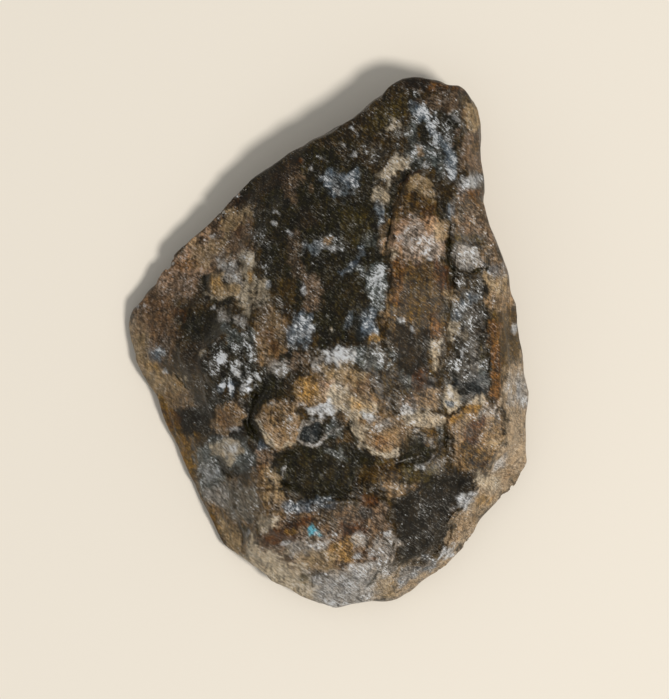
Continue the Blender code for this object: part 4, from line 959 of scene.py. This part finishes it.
def carve(mesh, shape):
    """Gives the worn lump its crisp breaks, terraces, hackly patches and grain."""
    points, normals = read_points(mesh), read_normals(mesh)
    facing_up = normals[:, 2]
    surface = paint(points, normals)[1]
    hackly, grainy = surface[:, 1], surface[:, 2]
    rise = sheet_relief(seen_place(points))
    rise += terraces(points, facing_up, hackly, shape)
    rise += shape.hackle_height / MM * (LEAST_CRUMBS + hackly) * noise(points, "crumbs")
    rise += shape.grain_height / MM * (LEAST_GRAIN + grainy) * noise(points, "grain")

    above_rest = smooth_step(points[:, 2], *REST_CLEARANCE)
    steep = 1.0 - smooth_step(np.abs(facing_up), *STEEP_FACING)
    out = WEAR * noise(points, "flank wear")
    moved = points.copy()
    moved[:, 2] += smooth_step(facing_up, *UPPER_FACING) * rise * above_rest
    moved += normals * (steep * out * above_rest)[:, None]
    under = smooth_step(-facing_up, *UNDER_FACING) * smooth_step(points[:, 2], *UNDER_CLEARANCE)
    moved[:, 2] += under * WEAR * noise(points, "underside wear")
    moved[points[:, 2] < RESTING, 2] = 0.0
    low, high = np.array(CAD_BOX[0]) / MM, np.array(CAD_BOX[1]) / MM
    write_points(mesh, np.clip(moved, low + BOX_MARGIN, high - BOX_MARGIN))


def lay_over(looks, near, name, share):
    """Lays a finish over the looks of the near points, as thickly as each one's share says."""
    hex_colour, *rest = FINISHES[name]
    finish = np.array((*linear(hex_colour)[:3], *rest))
    looks[near] += (finish - looks[near]) * share[:, None]


def paint_top(points, flat, broken):
    """The looks of the upper face: its linear colour, roughness, fleck cover and grain strength."""
    hex_colour, *rest = FINISHES["smoke"]
    top = np.tile(np.array((*linear(hex_colour)[:3], *rest)), (len(points), 1))
    patchy = 1.0 + PATCH_COVER * noise(points, "cover")
    for name, strength, edge, outline in AREAS:
        near = within_box(flat, outline, PATCH_REACH[0] + PATCH_REACH[1] * edge)
        depth = depth_inside(flat[near], outline, FAR) + broken[near] * (PATCH_BREAK + edge)
        soft = PATCH_EDGE[0] + PATCH_EDGE[1] * edge
        share = np.minimum(strength * patchy[near], 1.0) * smooth_step(depth, -soft, soft)
        lay_over(top, near, name, share)
    for name, strength, half, line in BANDS:
        near = within_box(flat, line, half * BAND_REACH)
        away = distance_to_line(flat[near], line, closed=False) + broken[near] * half
        lay_over(top, near, name, strength * smooth_step(-away, *(half * edge for edge in BAND_EDGE)))
    for name, strength, middle, halves, turn in SPOTS:
        near = within_box(flat, (middle, middle), max(halves) * SPOT_REACH)
        across, up = math.cos(math.radians(turn)), math.sin(math.radians(turn))
        away = flat[near] - middle
        turned = np.stack((away @ (across, up), away @ (-up, across)), axis=1) / halves
        depth = -np.linalg.norm(turned, axis=1) + SPOT_BREAK * broken[near]
        lay_over(top, near, name, strength * smooth_step(depth, *SPOT_EDGE))
    return top


def paint_sides(points, top, broken):
    """The looks of the flanks and the underside, where the upper face's finishes run down and change."""
    side = top.copy()
    height = points[:, 2] + points[:, :2] @ np.array(SIDE_DIP)
    squeezed = np.stack((points[:, 0], points[:, 1], height * LAYER_SQUEEZE), axis=1)
    values = {"layers": noise(squeezed, "layers"), "clouds": noise(points, "clouds")}
    for name, source, sign, low, high in SIDES:
        share = SIDE_COVER * smooth_step(sign * values[source] + SIDE_BREAK * broken, low, high)
        lay_over(side, slice(None), name, share)
    return side


def paint(points, normals):
    """The linear colour of each point, and its roughness, fleck cover and grain strength."""
    facing_up = normals[:, 2]
    level = smooth_step(facing_up, *LEVEL_FACING)
    fibrous = level * smooth_step(points[:, 1], *FIBROUS_FROM)
    broken = EDGE_BREAK * noise(points, "clumps") + EDGE_BREAK * noise(points, "crumbly edges")
    broken += EDGE_BREAK * fibrous * noise(points, "fibrous edges")
    top = paint_top(points, seen_place(points), broken)
    side = paint_sides(points, top, broken)
    looks = side + (top - side) * smooth_step(facing_up, *TOP_PAINT_FACING)[:, None]
    looks[:, 4:] *= (FLANK_FLECKS + (1.0 - FLANK_FLECKS) * level)[:, None]
    return looks[:, :3], looks[:, 3:]


def apply_modifier(thing, kind, **settings):
    """Adds a modifier to the only selected object, and applies it."""
    modifier = thing.modifiers.new(kind.title(), kind)
    for name, value in settings.items():
        setattr(modifier, name, value)
    bpy.ops.object.modifier_apply(modifier=modifier.name)


def select_only(thing):
    bpy.ops.object.select_all(action="DESELECT")
    thing.select_set(True)
    bpy.context.view_layer.objects.active = thing


def copy_of_solid():
    """A copy of the CAD solid whose loose triangles are joined up."""
    if CAD_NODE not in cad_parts:
        raise RuntimeError(f"The frame has no node called {CAD_NODE}")
    stone = bpy.data.objects.new(PIECE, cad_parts[CAD_NODE].data.copy())
    stone.data.name = PIECE
    bpy.context.scene.collection.objects.link(stone)
    select_only(stone)
    bpy.ops.object.mode_set(mode="EDIT")
    bpy.ops.mesh.select_all(action="SELECT")
    bpy.ops.mesh.remove_doubles(threshold=MERGE_GAP * MM)
    bpy.ops.object.mode_set(mode="OBJECT")
    return stone


def triangle_count(mesh):
    return sum(len(face.vertices) - 2 for face in mesh.polygons)


def write_paint(mesh):
    colours, surface = paint(read_points(mesh), read_normals(mesh))
    for name, values in (("stone_colour", colours), ("stone_surface", surface)):
        layer = mesh.attributes.new(name, "FLOAT_COLOR", "POINT")
        full = np.concatenate((np.clip(values, 0.0, 1.0), np.ones((len(values), 1))), axis=1)
        layer.data.foreach_set("color", full.astype(np.float32).ravel())


def add_node(tree, kind, inputs=None, **settings):
    """Adds a node with its settings. An input that is given a socket is linked to it."""
    node = tree.nodes.new(kind)
    for name, value in settings.items():
        setattr(node, name, value)
    for name, value in (inputs or {}).items():
        if isinstance(value, bpy.types.NodeSocket):
            tree.links.new(value, node.inputs[name])
        else:
            node.inputs[name].default_value = value
    return node


def add_patterns(tree, place):
    """The patterns inside the stone, and what each effect makes of them."""
    patterns = {}
    for name, (sizes, turn, layers, rough, bend) in PATTERNS.items():
        spot = add_node(tree, "ShaderNodeMapping", {
            "Vector": place, "Rotation": (0.0, 0.0, math.radians(turn)),
            "Scale": tuple(size * MM for size in sizes),
        }, vector_type="TEXTURE")
        patterns[name] = add_node(tree, "ShaderNodeTexNoise", {
            "Vector": spot.outputs["Vector"], "Scale": 1.0, "Detail": layers, "Roughness": rough,
            "Distortion": bend,
        }).outputs["Fac"]
    effects = {
        name: add_node(tree, "ShaderNodeMapRange", {
            "Value": patterns[source], "From Min": low, "From Max": high, "To Min": start, "To Max": end,
        }).outputs["Result"]
        for name, (source, low, high, start, end) in EFFECTS.items()
    }
    return patterns, effects


def grained_colour(tree, finish, zone, grain, effects):
    """The painted finish with its tint, mottles, grit, streaks, hatching, and pits darkened by painted
    shade.
    """
    tint = add_node(tree, "ShaderNodeMix", {
        0: effects["warmth"], 6: finish.cool_tint, 7: finish.warm_tint,
    }, data_type="RGBA").outputs[2]
    colour = zone
    for factor in (tint, *(effects[name] for name in SHADES)):
        colour = add_node(tree, "ShaderNodeMix", {
            0: grain, 6: colour, 7: factor,
        }, data_type="RGBA", blend_type="MULTIPLY").outputs[2]
    # Painted shade in the pits.
    shaded_pits = add_node(tree, "ShaderNodeMath", {
        0: effects["pit_shading"], 1: grain,
    }, operation="MULTIPLY").outputs[0]
    return add_node(tree, "ShaderNodeMix", {
        0: shaded_pits, 6: colour, 7: finish.pit_shade_colour,
    }, data_type="RGBA").outputs[2]


def bruised_and_glinting_colour(tree, finish, zone, colour, thickness, patterns):
    """Dim strokes along the cleavage, partly bruised feldspar and partly painted glints, and small bright
    painted glints in the thick of them.
    """
    lighter = add_node(tree, "ShaderNodeMix", {
        0: 1.0, 6: zone, 7: VEIL_LIGHT,
    }, data_type="RGBA", blend_type="MULTIPLY").outputs[2]
    veil = add_node(tree, "ShaderNodeMix", {
        0: VEIL_GREY, 6: lighter, 7: finish.veil_colour,
    }, data_type="RGBA").outputs[2]
    covers = {"veil": veil, "glint": finish.glint_colour}
    for source, low, high, strength, cover in BRUISES_AND_GLINTS:
        amount = add_node(tree, "ShaderNodeMath", {0: patterns[source], 1: thickness}).outputs[0]
        share = add_node(tree, "ShaderNodeMapRange", {
            "Value": amount, "From Min": low, "From Max": high, "To Min": 0.0, "To Max": strength,
        }).outputs["Result"]
        colour = add_node(tree, "ShaderNodeMix", {
            0: share, 6: colour, 7: covers[cover],
        }, data_type="RGBA").outputs[2]
    return colour


def broken_normal(tree, place, fleck, patterns):
    """Small break faces that each lean their own way, so that a few catch the light, under a fine bump."""
    spot = add_node(tree, "ShaderNodeMapping", {
        "Vector": place, "Rotation": (0.0, 0.0, math.radians(FACET_TURN)),
        "Scale": tuple(size * MM for size in FACET_SIZES),
    }, vector_type="TEXTURE")
    facets = add_node(tree, "ShaderNodeTexVoronoi", {"Vector": spot.outputs["Vector"], "Scale": 1.0})
    lean = add_node(tree, "ShaderNodeVectorMath", {
        0: facets.outputs["Color"], 1: MIDDLE_COLOUR,
    }, operation="SUBTRACT")
    leaning_share, bump_strength = (
        add_node(tree, "ShaderNodeMapRange", {
            "Value": fleck, "From Min": FLECK_RANGE[0], "From Max": FLECK_RANGE[1],
            "To Min": low, "To Max": high,
        }).outputs["Result"]
        for low, high in (FACET_LEAN, BUMP_STRENGTH)
    )
    tilt = add_node(tree, "ShaderNodeVectorMath", {
        0: lean.outputs["Vector"], "Scale": leaning_share,
    }, operation="SCALE")
    facing = add_node(tree, "ShaderNodeNewGeometry").outputs["Normal"]
    leaning = add_node(tree, "ShaderNodeVectorMath", {0: facing, 1: tilt.outputs["Vector"]}, operation="ADD")
    facet = add_node(tree, "ShaderNodeVectorMath", {0: leaning.outputs["Vector"]}, operation="NORMALIZE")
    height = patterns["mottle"]
    for source, share in BUMP_PARTS:
        height = add_node(tree, "ShaderNodeMath", {
            0: patterns[source], 1: share, 2: height,
        }, operation="MULTIPLY_ADD").outputs[0]
    return add_node(tree, "ShaderNodeBump", {
        "Strength": bump_strength, "Distance": BUMP_HEIGHT * MM, "Height": height,
        "Normal": facet.outputs["Vector"],
    }).outputs["Normal"]


def stone_material(finish):
    """Labradorite broken by hand and weathered: near-black glassy cleavage with fine bright strokes along
    it, partly painted glints, hackly breaks that glint, and dull brown to pale crust."""
    material = bpy.data.materials.new("broken_labradorite")
    material.use_nodes = True
    tree = material.node_tree
    shader = tree.nodes["Principled BSDF"]
    place = add_node(tree, "ShaderNodeTexCoord").outputs["Object"]
    zone = add_node(tree, "ShaderNodeAttribute", attribute_name="stone_colour").outputs["Color"]
    surface = add_node(tree, "ShaderNodeAttribute", attribute_name="stone_surface").outputs["Color"]
    parts = add_node(tree, "ShaderNodeSeparateColor", {"Color": surface})
    roughness, fleck, grain = (parts.outputs[name] for name in ("Red", "Green", "Blue"))

    patterns, effects = add_patterns(tree, place)
    thickness = add_node(tree, "ShaderNodeMath", {
        0: fleck, 1: effects["thickening"],
    }, operation="MULTIPLY").outputs[0]
    colour = grained_colour(tree, finish, zone, grain, effects)
    colour = bruised_and_glinting_colour(tree, finish, zone, colour, thickness, patterns)
    gloss = add_node(tree, "ShaderNodeMath", {0: roughness, 1: effects["dulling"]}).outputs[0]
    for name, value in (
        ("Base Color", colour), ("Roughness", gloss),
        ("Normal", broken_normal(tree, place, fleck, patterns)),
    ):
        tree.links.new(value, shader.inputs[name])
    shader.inputs["IOR"].default_value = STONE_IOR
    shader.inputs["Specular IOR Level"].default_value = SKIN_MIRRORING
    shader.inputs["Metallic"].default_value = 0.0
    return material


def make_stone(shape, finish):
    stone = copy_of_solid()
    apply_modifier(stone, "REMESH", mode="VOXEL", voxel_size=shape.sculpt_grid)
    apply_modifier(stone, "SMOOTH", factor=SMOOTHING_PULL, iterations=shape.smoothing)
    carve(stone.data, shape)
    now = triangle_count(stone.data)
    apply_modifier(stone, "DECIMATE", ratio=min(1.0, shape.triangles / now))
    write_paint(stone.data)
    stone.data.materials.clear()
    stone.data.materials.append(stone_material(finish))
    bpy.ops.object.shade_smooth_by_angle(angle=math.radians(shape.smooth_angle_degrees))
    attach(stone, "root")
    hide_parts(CAD_NODE)
    return stone


def colour_choice(name, description, hex_colour):
    return FloatVectorProperty(
        name=name, description=description, subtype="COLOR", size=4, min=0.0, max=1.0,
        default=linear(hex_colour),
    )


class LabradoriteShape(bpy.types.PropertyGroup):
    """How finely the stone is carved."""

    sculpt_grid: FloatProperty(
        name="Carving grid", description="Size of the grid that the stone is carved on",
        default=0.22 * MM, unit="LENGTH",
    )
    smoothing: IntProperty(
        name="Smoothing", description="Passes that take the flat facets off the solid", default=14,
    )
    terrace_pitch: FloatProperty(
        name="Terrace pitch", description="Thickness of the thin cleavage sheets", default=0.6 * MM,
        unit="LENGTH",
    )
    terrace_share: FloatProperty(
        name="Terrace sharpness", description="How square the terraces are cut", default=0.24,
        subtype="FACTOR",
    )
    hackle_height: FloatProperty(
        name="Hackle height", description="Height of the crumbly breaks", default=0.08 * MM,
        unit="LENGTH",
    )
    grain_height: FloatProperty(
        name="Grain height", description="Height of the lines along the grain", default=0.04 * MM,
        unit="LENGTH",
    )
    triangles: IntProperty(
        name="Triangles", description="Triangles of the finished stone", default=192000,
    )
    smooth_angle_degrees: FloatProperty(
        name="Crisp angle", description="Breaks sharper than this, in degrees, stay crisp", default=32.0,
    )


class LabradoriteFinish(bpy.types.PropertyGroup):
    """Colours that run through every finish of the stone."""

    # Bruises are pale bruised strokes and partly dim painted glints; chips are painted glints, highlights
    # painted into the colour.
    veil_colour: colour_choice("Bruises", "Dim bruised strokes along the cleavage", "#8e908f")
    glint_colour: colour_choice("Chips", "Small bright chips that catch the light", "#c4cad2")
    # Painted shade in pits and gaps between crumbs.
    pit_shade_colour: colour_choice("Pits", "Pits and gaps between crumbs", "#14110c")
    warm_tint: FloatVectorProperty(
        name="Warm tint", description="What the iron-stained mottles do to a finish", size=4,
        default=(1.05, 0.99, 0.88, 1.0),
    )
    cool_tint: FloatVectorProperty(
        name="Cool tint", description="What the clearer mottles do to a finish", size=4,
        default=(0.95, 1.0, 1.04, 1.0),
    )


class LabradoriteStage(bpy.types.PropertyGroup):
    """The floor, the light and the camera."""

    floor_colour: colour_choice("Floor", "Plain pale floor", "#e4e1da")
    sky_colour: colour_choice("Fill light", "Soft light from all round", "#f2efe9")
    sky_strength: FloatProperty(name="Fill strength", description="How strong the fill is", default=0.48)
    key_power: FloatProperty(
        name="Key power", description="Power of the main light, in watts", default=15.5,
    )
    key_size: FloatProperty(
        name="Key size", description="Width of the main light", default=0.28, unit="LENGTH",
    )
    key_distance: FloatProperty(
        name="Key distance", description="How far away the main light is", default=1.4, unit="LENGTH",
    )
    key_bearing: FloatProperty(
        name="Key bearing", description="Where the main light is, anticlockwise from +X",
        default=math.radians(-29.0), subtype="ANGLE",
    )
    key_elevation: FloatProperty(
        name="Key elevation", description="How high the main light is", default=math.radians(58.0),
        subtype="ANGLE",
    )
    view_width: FloatProperty(
        name="View width", description="Width that the camera sees at the stone", default=94.66 * MM,
        unit="LENGTH",
    )


class LABRADORITE_OT_make_stone(bpy.types.Operator):
    """Carves the stone out of a copy of the solid, paints its finishes and gives it its material"""

    bl_idname = "labradorite.make_stone"
    bl_label = "Make the stone"

    def execute(self, context):
        make_stone(context.scene.labradorite_shape, context.scene.labradorite_finish)
        return {"FINISHED"}


def make_floor(stage):
    bpy.ops.object.select_all(action="DESELECT")
    bpy.ops.mesh.primitive_plane_add(size=FLOOR_SIZE, location=(0.0, 0.0, 0.0))
    floor = bpy.context.active_object
    floor.name = "floor"
    # Matt backdrop paper: pale and without shine, so the eye finds only a soft shadow on it
    material = bpy.data.materials.new("matt_backdrop_paper")
    material.use_nodes = True
    shader = material.node_tree.nodes["Principled BSDF"]
    shader.inputs["Base Color"].default_value = stage.floor_colour
    shader.inputs["Roughness"].default_value = FLOOR_ROUGHNESS
    floor.data.materials.append(material)


def add_key_light(stage):
    level = math.cos(stage.key_elevation) * stage.key_distance
    place = Vector((
        level * math.cos(stage.key_bearing), level * math.sin(stage.key_bearing),
        math.sin(stage.key_elevation) * stage.key_distance,
    ))
    light = bpy.data.lights.new("key", "AREA")
    light.shape = "DISK"
    light.size = stage.key_size
    light.energy = stage.key_power
    light.color = linear(KEY_COLOUR)[:3]
    lamp = bpy.data.objects.new("key", light)
    lamp.location = place
    lamp.rotation_euler = place.to_track_quat("Z", "Y").to_euler()
    bpy.context.scene.collection.objects.link(lamp)


def add_camera(stage):
    sight = bpy.data.cameras.new("camera")
    sight.sensor_fit = "HORIZONTAL"
    sight.sensor_width = SENSOR_WIDTH
    sight.lens = SENSOR_WIDTH * (EYE_HEIGHT - READ_HEIGHT) * MM / stage.view_width
    sight.clip_start, sight.clip_end = SIGHT_RANGE
    camera = bpy.data.objects.new("camera", sight)
    camera.location = (EYE[0] * MM, EYE[1] * MM, EYE_HEIGHT * MM)
    bpy.context.scene.collection.objects.link(camera)
    bpy.context.scene.camera = camera


def fill_sky(stage):
    world = bpy.context.scene.world or bpy.data.worlds.new("soft_fill")
    bpy.context.scene.world = world
    world.use_nodes = True
    background = world.node_tree.nodes["Background"]
    background.inputs["Color"].default_value = stage.sky_colour
    background.inputs["Strength"].default_value = stage.sky_strength


class LABRADORITE_OT_set_stage(bpy.types.Operator):
    """Sets the pale floor, the soft light and the camera that looks straight down"""

    bl_idname = "labradorite.set_stage"
    bl_label = "Set the stage"

    def execute(self, context):
        stage = context.scene.labradorite_stage
        make_floor(stage)
        add_key_light(stage)
        add_camera(stage)
        fill_sky(stage)
        context.scene.view_settings.view_transform = "Standard"
        return {"FINISHED"}


class LABRADORITE_PT_panel(bpy.types.Panel):
    """Lists the steps and the settings of the specimen"""

    bl_idname = "LABRADORITE_PT_panel"
    bl_label = "Rough labradorite specimen"
    bl_space_type = "VIEW_3D"
    bl_region_type = "UI"
    bl_category = "Labradorite"

    def draw(self, context):
        for group, step in (
            (context.scene.labradorite_shape, "labradorite.make_stone"),
            (context.scene.labradorite_finish, None),
            (context.scene.labradorite_stage, "labradorite.set_stage"),
        ):
            box = self.layout.box()
            for name in group.__annotations__:
                box.prop(group, name)
            if step:
                box.operator(step)


CLASSES = (
    LabradoriteShape, LabradoriteFinish, LabradoriteStage,
    LABRADORITE_OT_make_stone, LABRADORITE_OT_set_stage, LABRADORITE_PT_panel,
)


def register():
    for thing in CLASSES:
        bpy.utils.register_class(thing)
    bpy.types.Scene.labradorite_shape = PointerProperty(type=LabradoriteShape)
    bpy.types.Scene.labradorite_finish = PointerProperty(type=LabradoriteFinish)
    bpy.types.Scene.labradorite_stage = PointerProperty(type=LabradoriteStage)


def unregister():
    del bpy.types.Scene.labradorite_stage
    del bpy.types.Scene.labradorite_finish
    del bpy.types.Scene.labradorite_shape
    for thing in reversed(CLASSES):
        bpy.utils.unregister_class(thing)


def main():
    register()
    bpy.ops.labradorite.make_stone()
    bpy.ops.labradorite.set_stage()


if __name__ == "__main__":
    main()
